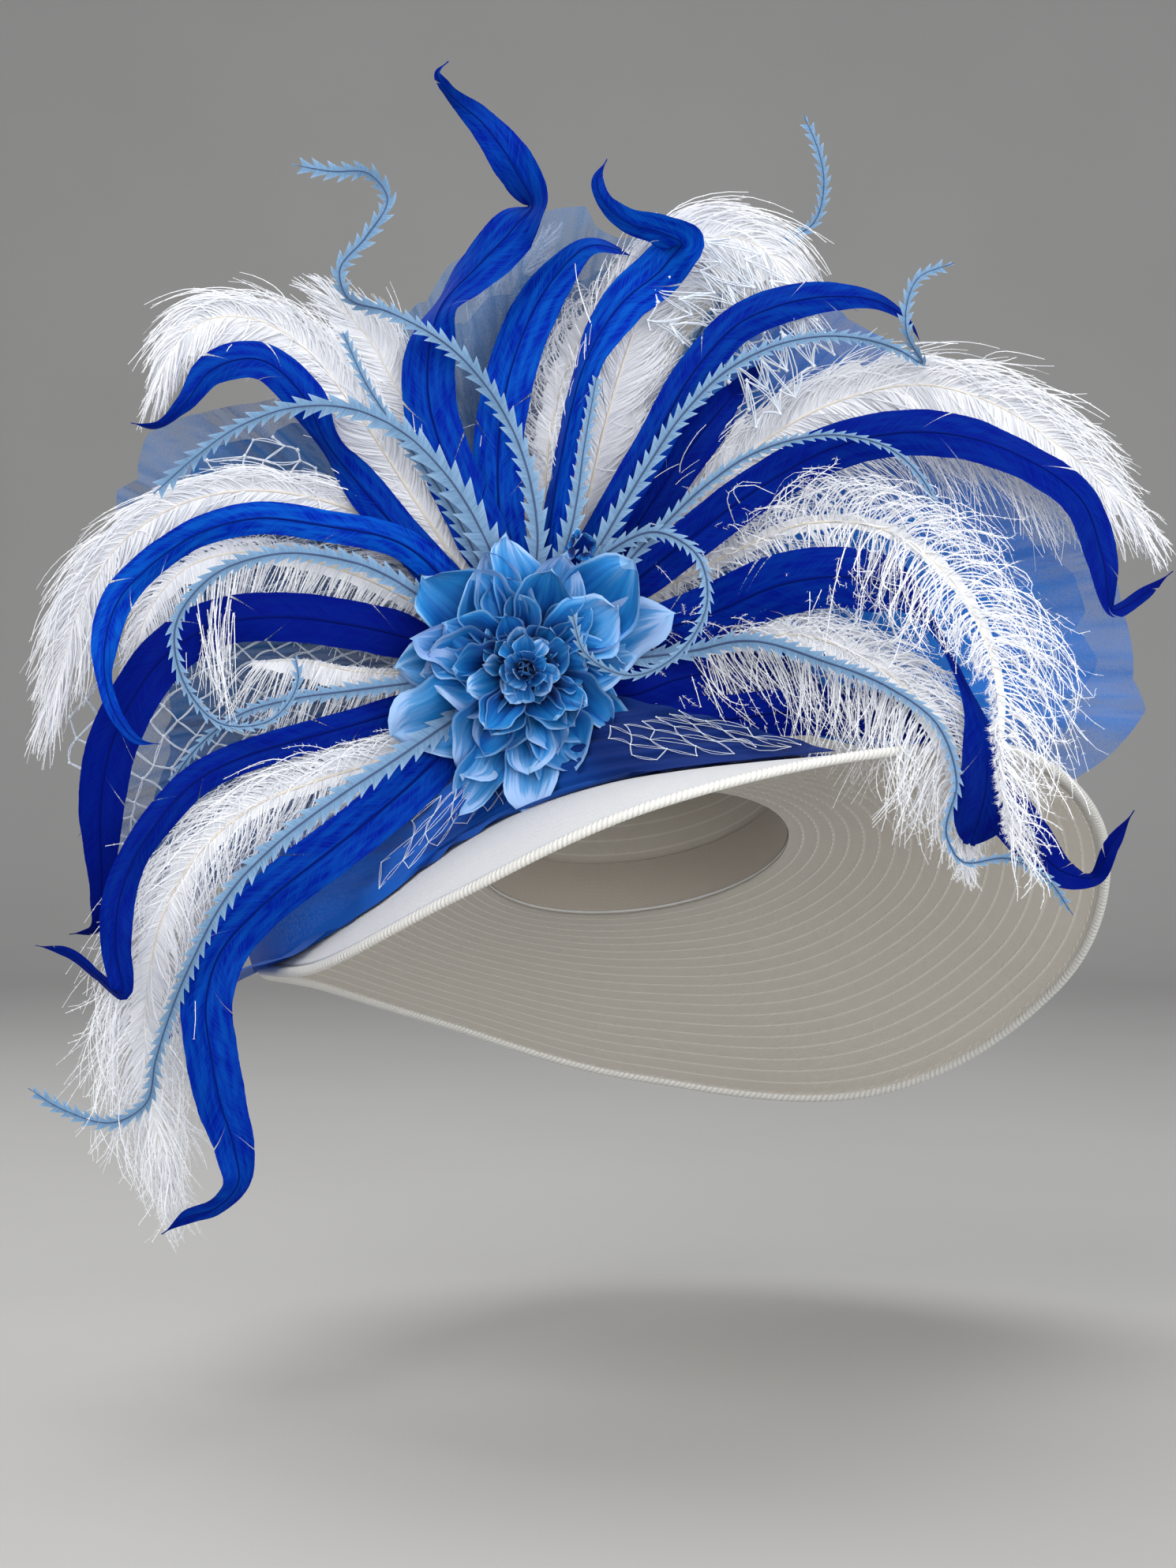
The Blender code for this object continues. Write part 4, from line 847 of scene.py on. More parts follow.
def tulle_look(name, colour, cover, fade=0.0):
    """Sheer hexagon mesh, seen as a tint with a fine cell pattern, denser along its folds, with
    painted shade in its creases and on its darkened part.
    """
    look = Look(name, Roughness=0.6, Sheen_Weight=0.05, Specular_IOR_Level=0.15)
    around, out, crease, dark, outward = look.values("around row crease dark outward")
    cells = look.node(
        "TexVoronoi", {"feature": "DISTANCE_TO_EDGE"}, Vector=look.vector(around, out), Scale=0.7
    ).outputs["Distance"]
    drift = look.noise(look.place(), 18, 3)
    duller, brighter, painted_crease_shade = (
        tuple(min(1, c * by + more) for c in colour) for by, more in ((0.7, 0), (1.5, 0.005), (0.6, 0))
    )
    shade = look.mix(drift, duller, brighter)
    # Darker along the creases: painted shade; the mesh's real density there is in the alpha
    shade = look.mix(look.times(crease, 0.5), shade, painted_crease_shade)
    # Toward navy where dark is set: painted shade on parts of the wrap and the swath
    shade = look.mix(look.times(dark, 0.85), shade, (0.0008, 0.008, 0.10))
    alpha = look.fit(look.calc("LESS_THAN", cells, 0.13), 0.16, cover)
    for value, more in ((drift, 0.14), (outward, -fade), (crease, 0.30)):
        alpha = look.fit(value, more, alpha)
    return look.finish(shade, None, cells, 0.0001, 0.5, alpha)


def net_look():
    """Pale thread."""
    look = Look("net_thread", Roughness=0.5)
    twist = look.noise(look.place(), 1600, 2)
    return look.finish(look.mix(twist, (0.72, 0.80, 0.93), (0.88, 0.93, 0.99)), None, twist, 0.0001)


def tape_look():
    """Blue crepe tape, darker where one turn ends and the next begins."""
    look = Look("stem_tape", Roughness=0.8)
    wound, = look.values("row")
    crepe = look.noise(look.place(), 500, 3)
    colour = look.mix(crepe, (0.004, 0.02, 0.20), (0.02, 0.07, 0.42))
    colour = look.mix(look.calc("PINGPONG", wound, 0.5), (0.003, 0.012, 0.13), colour)
    return look.finish(colour, None, crepe, 0.0004)


class Line:
    """A feather's centre line with its directions, looked up by millimetres of length."""

    def __init__(self, feather):
        away = np.array(feather.path[0][:2], float) - TRIM_CENTRE
        start = np.array(TRIM_CENTRE) + away / np.hypot(*away) * HUB_RADIUS_PIXELS
        rows = np.array([(*start, feather.root, 0), *feather.path], float)
        keys = np.concatenate([[0], np.cumsum(np.hypot(*np.diff(rows[:, :2], axis=0).T))])
        rows = hermite(np.linspace(0, keys[-1], LINE_POINTS), keys, rows)
        self.centre = seen_at(*rows[:, :3].T)
        self.tangent = unit(np.gradient(self.centre, axis=0))
        sideways = unit(np.cross(self.tangent, (0, -1, 0)))
        facing = np.cross(sideways, self.tangent)
        turn = np.radians(rows[:, 3])[:, None]
        self.sideways = sideways * np.cos(turn) + facing * np.sin(turn)
        self.facing = np.cross(self.sideways, self.tangent)
        self.mm = running(self.centre)
        self.length = self.mm[-1]

    def look_up(self, field, mm):
        """The centres or directions at these millimetres of the line."""
        return np.stack([np.interp(mm, self.mm, field[:, k]) for k in range(3)], -1)

    def at(self, mm, side=0.0, front=0.0):
        """Points at lengths along, millimetres to the side and in front."""
        mm, side, front = alike(mm, side, front)
        past = np.maximum(mm - self.length, 0)
        moved = sum(
            unit(self.look_up(field, mm)) * far[..., None]
            for field, far in ((self.tangent, past), (self.sideways, side), (self.facing, front))
        )
        return self.look_up(self.centre, mm) + moved / 1000


def blade_spread(feather, share, widths):
    """Half the width of a blade's vane at shares of its length, in millimetres."""
    share = np.clip(share, 0, 1)
    if widths:
        rounded = np.sqrt(np.clip(1 - (np.maximum(share - 0.955, 0) / 0.047) ** 2, 0.01, 1))
        found = curve(share.ravel(), widths)[:, 0].reshape(share.shape)
        return feather.width / 2 * found * rounded
    spread = smoothstep(share / 0.16) * (0.25 + 0.75 * smoothstep((1 - share) / 0.30))
    spread = feather.width / 2 * np.maximum(0.10, spread)
    return spread * np.maximum(0.10, smoothstep((1 - share) / 0.05))


def split_barbs(count, long, rng):
    """The barbs of a side, doubled where it splits, where they double, and how far they part."""
    splits = rng.choice(np.arange(14, count - 8), max(1, int(long / 110)), replace=False)
    order = np.sort(np.concatenate([np.arange(count), splits]))
    doubled = np.flatnonzero(order[1:] == order[:-1])
    pull = np.zeros(len(order))
    for i in doubled:
        apart = rng.uniform(0.3, 1.2)
        for k in range(6):
            pull[max(i - k, 0)] -= apart * math.exp(-k / 2)
            pull[min(i + 1 + k, len(order) - 1)] += apart * math.exp(-k / 2)
    return order, doubled, pull


def add_strays(shape, line, spread, dark, rng):
    """A few barbs that stand off a blade's edge."""
    count = int(line.length / 45)
    at = rng.uniform(0.05, 0.95, count) * line.length
    sign = rng.choice([-1.0, 1.0], count)
    edge = spread(at / line.length)
    root = line.at(at + BARB_SLANT * edge * 0.8, sign * edge * 0.9)
    tangent = line.look_up(line.tangent, at)
    out = unit(
        tangent * rng.uniform(0.8, 1.4, count)[:, None]
        + line.look_up(line.sideways, at) * (sign * rng.uniform(0.2, 0.8, count))[:, None]
        + rng.normal(0, 0.12, (count, 3))
    )
    tips = root + out * (rng.uniform(1.5, 4, count)[:, None] / 1000)
    shape.spikes(root, tangent, tips, 0.0006, barb=at, dark=dark, share=at / line.length)


def make_blade(name, feather, finish, seed, *nodes):
    """A goose blade: two keeled vanes of slanting barbs, split here and there, and their shaft."""
    rng = np.random.default_rng(seed)
    line = Line(feather)
    long = line.length
    dark = DARK_BLADES.get(name, 0.0)
    count = int(long / BARB_PITCH)
    v = np.linspace(0, 1, VANE_POINTS)[None]
    shape = Shape()

    def spread(share):
        return blade_spread(feather, share, BLADE_WIDTHS.get(name))

    for sign in (-1.0, 1.0):
        order, doubled, pull = split_barbs(count, long, rng)
        share = order / (count - 1)
        half = spread(share)
        for _ in range(14):
            half = (half + spread(share + BARB_SLANT * half / long)) / 2
        edge = 1 + 0.022 * ripple(share * long / 9, seed * 7 + int(sign))
        edge = edge + rng.uniform(-0.008, 0.008, len(share))
        side = v * (half * edge)[:, None]
        along = share[:, None] * long + BARB_SLANT * side
        parted = np.clip(along + pull[:, None] * v**2.2, 0, long + 1.0)
        keel = KEEL * half[:, None] * (1 - v**1.5)
        wave = ripple(along / 15 + sign * 2, seed) * v**2 * 0.11 * half[:, None]
        crease = 0.20 * ripple(along / 3.1 + side * 0.7 + sign, seed + 5) * v
        faces = grid(*along.shape).reshape(len(order) - 1, VANE_POINTS - 1, 4)
        shape.add(
            line.at(parted, sign * side, keel + wave + crease),
            np.delete(faces, doubled, axis=0).reshape(-1, 4),
            barb=along - BARB_SLANT * side + (OTHER_SIDE if sign > 0 else 0), across=sign * side,
            share=along / long, dark=dark,
        )
    mm = np.linspace(0, long * 0.985, count // 2)
    radii = 0.00062 * (1 - mm / long) ** 0.7 + 0.00014
    middle = line.at(mm, 0, KEEL * spread(mm / long))
    shape.tube(middle, radii, 6, rib=1, dark=dark, share=np.repeat(mm / long, 6))
    add_strays(shape, line, spread, dark, rng)
    return shape.piece(name + "_vane", finish, "royal_blue_goose", *nodes)


def make_quill(name, feather, finish, seed):
    """A quill whose vanes are cut into forward-pointing teeth, and its fine shaft."""
    rng = np.random.default_rng(seed)
    line = Line(feather)
    end = QUILL_ENDS.get(name, 0.50)

    def spread(mm):
        share = min(max(mm / line.length, 0), 1)
        taper = max(end, smoothstep(share / 0.07) * (1 - share) ** 0.5)
        return feather.width / 2 * taper * smoothstep((1 - share) / 0.03)

    shape = Shape()
    f, g = np.meshgrid(np.linspace(0, 1, 6), np.linspace(0, 1, 4), indexing="ij")
    for sign in (-1, 1):
        at = 3.0 if sign < 0 else 6.0
        while at < line.length - 3:
            pitch = max(6.0, 1.35 * spread(at)) * rng.uniform(0.85, 1.15)
            pitch = min(pitch, line.length - at)
            high = max(spread(at + pitch * 0.6), 0.35) * rng.uniform(0.90, 1.08)
            notch = 0.52 - 0.22 * min(1.0, at / line.length * 1.3)
            side = g * high * (notch + (1 - notch) * f**1.15)
            along = at + pitch * f + TOOTH_SLANT * side
            front = -0.10 * side + 0.22 * np.sin(at + f * 2)
            shape.sheet(
                line.at(np.minimum(along, line.length + 2), sign * side, front),
                barb=along - TOOTH_SLANT * side + OTHER_SIDE * (sign > 0), across=sign * side,
                share=g * (0.35 + 0.65 * f),
            )
            at += pitch
    mm = np.linspace(0, line.length, int(line.length / 2.5))
    radii = 0.00045 * (1 - mm / line.length) ** 0.6 + 0.00018
    shape.tube(line.at(mm, 0, 0.15), radii, 5, rib=1)
    return shape.piece(name + "_cut", finish, "pale_blue_quill", name)


class Plume:
    """An ostrich plume: long bending barbs with barbules, soft down beside the shaft, the shaft."""

    def __init__(self, name, feather, seed):
        self.width, self.seed = feather.width, seed
        self.style = PLUME_STYLES.get(name, SILKY)
        self.differing = SIDES.get(name, [])
        self.line = Line(feather)
        self.rng = np.random.default_rng(seed)
        self.shape = Shape()

    def usual_reach(self, at):
        """The length of the barbs at these millimetres of the shaft, before the sides differ."""
        share = at / self.line.length
        reach = self.width / 2 * self.style.length * (0.45 + 0.55 * smoothstep(share / 0.25))
        return reach * (1 - self.style.short * smoothstep((share - 0.70) / 0.30))

    def reach(self, at, sign):
        """The length of the barbs on each side, in millimetres."""
        reach = self.usual_reach(at)
        for one in self.differing:
            by = straight(at / self.line.length, one.keys)
            reach = np.where(sign == one.side, reach * by, reach)
        return reach

    def closing(self, at):
        """How far the barbs close up towards the shaft's end, from 0 to 1."""
        return smoothstep((at / self.line.length - 0.80) / 0.20)

    def clump(self, at, sign):
        """How barbs gather into clumps along each side, from -1 to 1."""
        return ripple(at / 4.5 + sign * 9, self.seed)

    def angles(self, clump, closing, off=(0, 0)):
        """How far barbs lean from the shaft at their roots and at their tips, in radians."""
        lean = np.radians(self.style.lean + 7 * clump + off[0]) * (1 - 0.85 * closing)
        return lean, np.radians(self.style.later + 8 * clump + off[1]) * (1 - 0.5 * closing)

    def lay(self, at, sign, reach, bends, rise, sway, steps, part=1.0):
        """Barbs from the shaft: a row of points each, to a part of their length."""
        u = np.linspace(0, part, steps)[None]
        lean, later, hook = bends
        bend = lean + (later - lean) * smoothstep(u * 1.25) - hook * u**3 + sway[0] * u
        rise = rise * (1 - 0.5 * u) + sway[1] * u
        ahead = reach[:, None] * part / (steps - 1)
        run, side, front = (
            (np.cumsum(piece, axis=1) - piece[:, :1]) * ahead
            for piece in (np.cos(bend) * np.cos(rise), np.sin(bend) * np.cos(rise), np.sin(rise))
        )
        over = self.style.fuzz * 0.5 * np.sin(math.pi * np.minimum(u * 2, 1))
        sag = self.style.droop * reach
        for one in self.differing:
            extra = one.ahead * np.maximum(reach - self.usual_reach(at), 0)
            over = over + np.where(sign == one.side, extra, 0)[:, None] * smoothstep(u * 1.6)
            sag = np.where(sign == one.side, sag * one.sag, sag)
        path = self.line.at(at[:, None] + run, sign[:, None] * side, front + 0.4 + over)
        path[..., 2] -= sag[:, None] * u**1.8 / 1000
        return path

    def add_barbs(self):
        """Long barbs on both sides in turn, some of them loose, each fringed with barbules."""
        style, line, rng = self.style, self.line, self.rng
        count = int(line.length * style.per_mm) * 2
        at = np.sort(rng.uniform(0.03, 1, count)) * line.length
        sign = np.where(np.arange(count) % 2, 1.0, -1.0)
        clump = self.clump(at, sign)
        uneven = 0.14 * ripple(at / 2.9 + sign * 5, self.seed + 3)
        reach = self.reach(at, sign) * (1 + uneven + rng.uniform(-0.20, 0.10, count))
        loose = (rng.random(count) < style.loose).astype(float)
        reach = reach * (1 - loose * rng.uniform(-0.1, 0.6, count))
        closing = self.closing(at) * rng.uniform(0.6, 1, count)
        off = rng.normal(0, 5, count), rng.normal(0, 6, count)
        lean, later = self.angles(clump, closing, off)
        lean = lean + loose * rng.normal(0, 0.7, count)
        swing = rng.uniform(0.3, 1, count) * rng.choice([-1.0, 1.0], count, p=[0.3, 0.7])
        spin = rng.uniform(0, 6.3, (2, count, 1))
        rise = 0.10 * clump + rng.normal(0.02, 0.10, count) + loose * rng.uniform(0.05, 0.45, count)
        u = np.linspace(0, 1, BARB_STEPS)[None]
        sway = style.wave * np.sin(5.5 * u + spin[0]), 0.7 * style.wave * np.sin(4.5 * u + spin[1])
        bends = lean[:, None], later[:, None], style.hook * swing[:, None]
        path = self.lay(at, sign, reach, bends, rise[:, None], sway, BARB_STEPS)
        direction = unit(np.gradient(path, axis=1))
        facing = unit(line.look_up(line.facing, at))[:, None]
        flat = unit(np.cross(direction, facing + rng.normal(0, 0.40, (count, 1, 3))))
        widths = style.width / 1000 * (1 - 0.68 * u) * rng.uniform(0.7, 1.2, (count, 1))
        tint = np.clip(0.55 + 0.3 * clump + rng.normal(0, 0.18, count), 0, 1)
        self.shape.ribbons(path, flat, widths, tint=tint[:, None], barb=at[:, None])
        self.add_barbules(path, direction, flat, tint, at)

    def add_barbules(self, path, direction, flat, tint, at):
        """Fine spikes along both edges of each barb, longest before its tip."""
        count, fringe = len(at), self.style.fringe
        where = np.linspace(0.12, 1.0, fringe)
        position = where * (BARB_STEPS - 1)
        low = np.minimum(position.astype(int), BARB_STEPS - 2)
        part = (position - low)[None, :, None]
        base = path[:, low] * (1 - part) + path[:, low + 1] * part
        profile = (0.6 + 0.8 * where) * (1 - 0.7 * smoothstep((where - 0.8) / 0.2))
        spread = self.rng.uniform(0.6, 1.3, (count, fringe))
        fuzz = self.style.fuzz * profile[None] * spread / 1000
        for turn in (-1, 1):
            lift = self.rng.normal(0, 0.35, (count, fringe, 3))
            out = unit(direction[:, low] * 1.5 + flat[:, low] * turn + lift)
            roots, along, tips = (
                x.reshape(-1, 3) for x in (base, direction[:, low], base + out * fuzz[..., None])
            )
            self.shape.spikes(
                roots, along, tips, 0.00045, tint=np.repeat(tint, fringe), barb=np.repeat(at, fringe)
            )

    def add_down(self):
        """The closed part beside the shaft, where the barbs lie side by side."""
        rows = int(self.line.length / 1.8)
        at = np.linspace(0.02, 0.99, rows) * self.line.length
        for side in (-1.0, 1.0):
            sign = np.full(rows, side)
            clump = self.clump(at, sign)
            lean, later = self.angles(clump, self.closing(at))
            uneven = 0.12 * ripple(at / 2.2 + sign, self.seed + 8)
            reach = self.reach(at, sign) * (0.93 + uneven + self.rng.uniform(-0.06, 0.06, rows))
            path = self.lay(
                at, sign, reach, (lean[:, None], later[:, None], 0.0),
                (0.10 * clump)[:, None] - 0.03, (0, 0), DOWN_STEPS, self.style.vane,
            )
            self.shape.sheet(
                path, barb=np.repeat(at + 300, DOWN_STEPS),
                tint=np.repeat(self.rng.uniform(0.35, 0.9, rows), DOWN_STEPS),
            )

    def add_shaft(self):
        """The tapering shaft, a little in front of the barbs' roots."""
        long = self.line.length
        mm = np.linspace(0, long * 0.98, int(long / 3))
        self.shape.tube(self.line.at(mm, 0, 0.5), 0.00085 * (1 - mm / long) + 0.0002, 6, rib=1)


def make_plume(name, feather, finish, seed):
    """One plume as a piece."""
    plume = Plume(name, feather, seed)
    plume.add_barbs()
    plume.add_down()
    plume.add_shaft()
    return plume.shape.piece(name + "_barbs", finish, "white_ostrich", name)


def brim_edge(bearing):
    """The brim's reach and drop at bearings in degrees, in metres."""
    before = [(bearing - 360, *values) for bearing, *values in BRIM_EDGE[-3:]]
    after = [(bearing + 360, *values) for bearing, *values in BRIM_EDGE[:3]]
    return curve(np.mod(bearing, 360.0), before + BRIM_EDGE + after).T / 1000


def brim_point(bearing, share, lift=0.0, out_by=0.0):
    """Points of the brim in the hat's own frame; arrays of the same shape."""
    bearing, share, lift, out_by = alike(bearing, share, lift, out_by)
    b, s = bearing.ravel(), share.ravel()
    out = np.stack([np.sin(np.radians(b)), -np.cos(np.radians(b)), np.zeros_like(b)], -1)
    opening = 1 / np.hypot(out[:, 0] / OPENING_HALF_WIDTH, out[:, 1] / OPENING_HALF_DEPTH)
    reach, drop = brim_edge(b)
    points = out * (opening + (reach - opening) * s + out_by.ravel())[:, None]
    points[:, 2] += lift.ravel() - drop * np.maximum(s, 0) ** BRIM_DOME
    return points.reshape(*bearing.shape, 3)


def make_brim(finish):
    """A closed shell of sewn braid rows, raised on both faces."""
    n, rings = BRIM_STEPS + 1, BRAID_ROWS * RINGS_PER_ROW + 1
    b, s = np.meshgrid(np.linspace(-180, 180, n), np.linspace(0, 1, rings))
    row = s * BRAID_ROWS
    relief = BRAID_RELIEF * np.abs(np.sin(math.pi * row)) ** 0.6
    relief = relief + 0.00010 * ripple(b / 7 + s * 9, 3)
    low = tip(brim_point(b, s, -relief * 0.8))
    high = tip(brim_point(b, s, STRAW + relief))
    under = grid(rings, n)
    above = rings * n
    j = np.arange(BRIM_STEPS)
    k = j + 1
    outer = (rings - 1) * n
    rim = np.stack([outer + j, outer + k, outer + k + above, outer + j + above], -1)
    mouth = np.stack([k, j, j + above, k + above], -1)
    faces = [under, under[:, ::-1] + above, rim[:, ::-1], mouth[:, ::-1]]
    # under: 1 on the lower face, which takes the straw's painted shade
    shape = Shape()
    shape.add(
        np.stack([low, high]), np.concatenate(faces),
        around=np.tile((np.radians(b) * AROUND["brim"]).ravel(), 2), row=np.tile(row.ravel(), 2),
        under=np.repeat([1.0, 0.0], above),
    )
    return shape.piece("brim_braid", finish, "white_straw", "brim")


def make_stitches(finish):
    """Slanting stitches under the brim, where one row of braid is sewn to the next."""
    stitches = Shape()
    rng = np.random.default_rng(11)
    reach = brim_edge(np.array([0.0, 90, 180, 270]))[0].mean()
    steps = np.linspace(0, 1, 3)[None]
    hump = -0.00012 - 0.00032 * np.sin(math.pi * steps) - 0.0002
    for line in range(1, BRAID_ROWS + 1):
        back, slant = (0.012, 0.004) if line == BRAID_ROWS else (0.004, 0.0012)
        at = line / BRAID_ROWS - back
        size = FIRST_ROW_RADIUS + (reach - FIRST_ROW_RADIUS) * at
        count = int(2 * math.pi * size / STITCH_PITCH)
        first = np.arange(count) * 360 / count + rng.uniform(-0.3, 0.3, count)
        bearing = first[:, None] + 360 / count * 0.58 * steps
        share = at + slant * (steps - 0.5)
        path = tip(brim_point(bearing, share, hump))
        ahead = unit(np.gradient(path, axis=1))
        inward = tip(brim_point(bearing, share - 0.02)) - tip(brim_point(bearing, share + 0.02))
        across = unit(np.cross(np.cross(ahead, unit(inward)), ahead))
        stitches.ribbons(path, across, np.full(bearing.shape, STITCH_WIDTH))
    return stitches.piece("brim_stitches", finish, "white_straw")


def make_edge_cord(finish):
    """The bound edge: a flat cord of three twisted strands."""
    n, sides, strands = 1500, 8, 3
    bearing = np.arange(n) * 360 / n
    edge = brim_point(bearing, 1.0, STRAW / 2)
    out = unit(edge - brim_point(bearing, 0.9, STRAW / 2))
    along = unit(np.roll(edge, -1, axis=0) - np.roll(edge, 1, axis=0))
    up = unit(np.cross(out, along))
    up = np.where(up[:, 2:] < 0, -up, up)
    out = unit(np.cross(along, up))
    out = np.where((out * edge).sum(1, keepdims=True) < 0, -out, out)
    middle = edge + out * (EDGE_WIDTH / 2 + GAP * 1.6)
    turns = round(running(middle)[-1] / STRAND_PITCH)
    phase = 2 * math.pi * turns * np.arange(n) / n
    angle = np.arange(sides) * 2 * math.pi / sides
    strand = 0.5 + 0.5 * np.cos(strands * (angle[None]) - phase[:, None])
    size = 0.93 + 0.11 * strand**0.7
    ring = (
        out[:, None] * (np.cos(angle)[None] * EDGE_WIDTH / 2 * size)[..., None]
        + up[:, None] * (np.sin(angle)[None] * EDGE_THICKNESS / 2 * size)[..., None]
    )
    last = (n - 1) * sides
    j = np.arange(sides)
    k = (j + 1) % sides
    closing = np.stack([last + j, last + k, k, j], -1)
    shape = Shape()
    shape.add(
        tip(middle[:, None] + ring), np.concatenate([grid(n, sides, wrap=True), closing]), twist=strand
    )
    return shape.piece("edge_binding", finish, "white_straw", "edge_cord")


def crown_size(size, grow):
    """Half width and half depth of the crown's side, grown by so much."""
    wide = (OPENING_HALF_WIDTH + CROWN_EASE) * size + grow
    return wide, (OPENING_HALF_DEPTH + CROWN_EASE) * size + grow


def crown_layer(side, angle, grow, sign):
    """One face of the crown up its side and over its top, and the braid row of each ring."""
    wide, deep = crown_size(curve(side, CROWN_PROFILE)[:, 0], grow)
    high = STRAW + GAP + side * CROWN_HEIGHT
    run = np.concatenate([[0], np.cumsum(np.hypot(np.diff(wide), np.diff(high)))]) * 1000
    row = run / CROWN_ROW
    top = np.linspace(1, 0.04, 16)[1:]
    row = np.concatenate([row, row[-1] + (1 - top) * wide[-1] * 1000 / CROWN_ROW])
    wide, deep = (np.concatenate([x, x[-1] * top]) for x in (wide, deep))
    high = np.concatenate([high + grow * side**4, high[-1] + grow + 0.0016 * (1 - top**2)])
    relief = BRAID_RELIEF * np.abs(np.sin(math.pi * row)) ** 0.6 * sign
    ring = np.stack([
        (wide + relief)[:, None] * np.sin(angle), -(deep + relief)[:, None] * np.cos(angle),
        np.broadcast_to(high[:, None], (len(high), len(angle))),
    ], -1)
    return tip(ring), row


def make_crown(finish):
    """The crown's closed shell, its braid rows running round and spiralling in on top."""
    n = CROWN_STEPS + 1
    side = np.concatenate([np.linspace(0, 0.7, 30), np.linspace(0.7, 1.0, 24)[1:]])
    angle = np.linspace(-math.pi, math.pi, n)
    layers = [crown_layer(side, angle, grow, sign) for grow, sign in ((STRAW, 1.0), (0.0, -1.0))]
    rows = len(layers[0][1])
    inner = rows * n
    j = np.arange(CROWN_STEPS)
    k = j + 1
    foot = np.stack([j, j + inner, k + inner, k], -1)
    i = np.arange(CROWN_STEPS // 2 - 1)
    lid = np.stack([i, i + 1, n - 3 - i, n - 2 - i], -1)
    faces = [grid(rows, n), grid(rows, n)[:, ::-1] + inner, foot, lid + inner - n, lid + 2 * inner - n]
    # under: 1 on the inner face, which takes the straw's painted shade
    shape = Shape()
    shape.add(
        np.stack([layer[0] for layer in layers]), np.concatenate(faces),
        around=np.tile(angle * AROUND["crown"], 2 * rows),
        row=np.concatenate([np.repeat(layer[1], n) for layer in layers]),
        under=np.repeat([0.0, 1.0], inner),
    )
    return shape.piece("crown_braid", finish, "white_straw", "crown")


def make_sweatband(finish):
    """A thin woven band inside the crown's foot, its free edge eased away from the crown."""
    n, steps = 221, 12
    angle = np.linspace(-math.pi, math.pi, n)
    up = np.linspace(0, 1, steps)
    ease = -GAP * 1.5 - 0.0008 * up[:, None] - 0.0006 * np.sin(math.pi * up)[:, None]
    ease = ease - 0.0004 * (1 + ripple(angle * 6, 8))[None] * up[:, None]
    ring = np.stack([
        (OPENING_HALF_WIDTH + ease) * np.sin(angle), -(OPENING_HALF_DEPTH + ease) * np.cos(angle),
        np.broadcast_to((STRAW + GAP + up * BAND_HEIGHT)[:, None], (steps, n)),
    ], -1)
    shape = Shape()
    shape.sheet(
        tip(ring), around=np.tile(angle * AROUND["band"], steps),
        row=np.repeat(up * BAND_HEIGHT * 1000, n),
    )
    made = shape.piece("band_inside", finish, "sweatband_cloth", "sweatband")


def fan_point(fan, angle, share, depth=0.0, reach_by=1.0):
    """Points of a fan: share 0 at the hub, 1 at its free edge, depth in millimetres."""
    angle, share, depth, reach_by = alike(angle, share, depth, reach_by)
    reach, forward, bulge = curve(angle.ravel(), fan.rows).T.reshape(3, *angle.shape)
    start = HUB_RADIUS_PIXELS + HUB_CLEARANCE
    at = start + (reach * reach_by - start) * share
    front = fan.root + (forward - fan.root) * share + bulge * np.sin(math.pi * share**0.6) + depth
    return round_hub(np.radians(angle), at, front)


def make_tulle(name, layer, finish, seed):
    """One layer of tulle, gathered at the hub, its flat folds opening into a ruffled edge."""
    rng = np.random.default_rng(seed)
    fan = FANS[layer.fan]
    low, high = fan.rows[0][0], fan.rows[-1][0]
    angle, share = np.meshgrid(np.linspace(low, high, layer.pleats * 24 + 1), np.linspace(0, 1, 40))
    around = (angle - low) / (high - low)
    turn = layer.pleats * around + 0.20 * ripple(around * 6 + share * 2.2, seed)
    peaks = rng.uniform(0.5, 1.0, 2 * layer.pleats + 4)
    peaks[1::2] *= -1
    fold = np.interp(turn * 2, np.arange(-1, len(peaks) - 1), peaks)
    second = turn * 3.1 + 0.8 * share + 0.25 * ripple(share * 5 + around * 4, seed + 6)
    small = np.abs(second % 1 - 0.5) - 0.25
    depth = layer.ruffle * share**0.8 * (0.55 * fold + 0.9 * small)
    depth = depth + 1.5 * ripple(share * 6 + around * 15, seed + 1) * share
    depth = depth - layer.back * smoothstep(share * 4)
    near = np.abs(turn * 2 - np.round(turn * 2)), np.abs(second * 2 - np.round(second * 2))
    crease = np.maximum(np.exp(-((near[0] / 0.07) ** 2)), 0.7 * np.exp(-((near[1] / 0.10) ** 2)))
    notch = np.interp(turn * 3.1, np.arange(-2, 60), rng.uniform(-0.040, 0.02, 62))
    swing = 1.2 * share * fold * (high - low) / layer.pleats / 9
    swung = np.clip(angle + swing, low, high)
    shape = Shape()
    shape.sheet(
        fan_point(fan, swung, share, depth, layer.reach * (1 + share * notch)),
        around=around * layer.flat[0] * 1000, row=share * layer.flat[1] * 1000,
        crease=crease * smoothstep(share * 2), outward=smoothstep((share - 0.55) / 0.45),
    )
    nodes = [name] if name == layer.fan else []
    made = shape.piece(name + "_cloth", finish, "blue_tulle", *nodes)


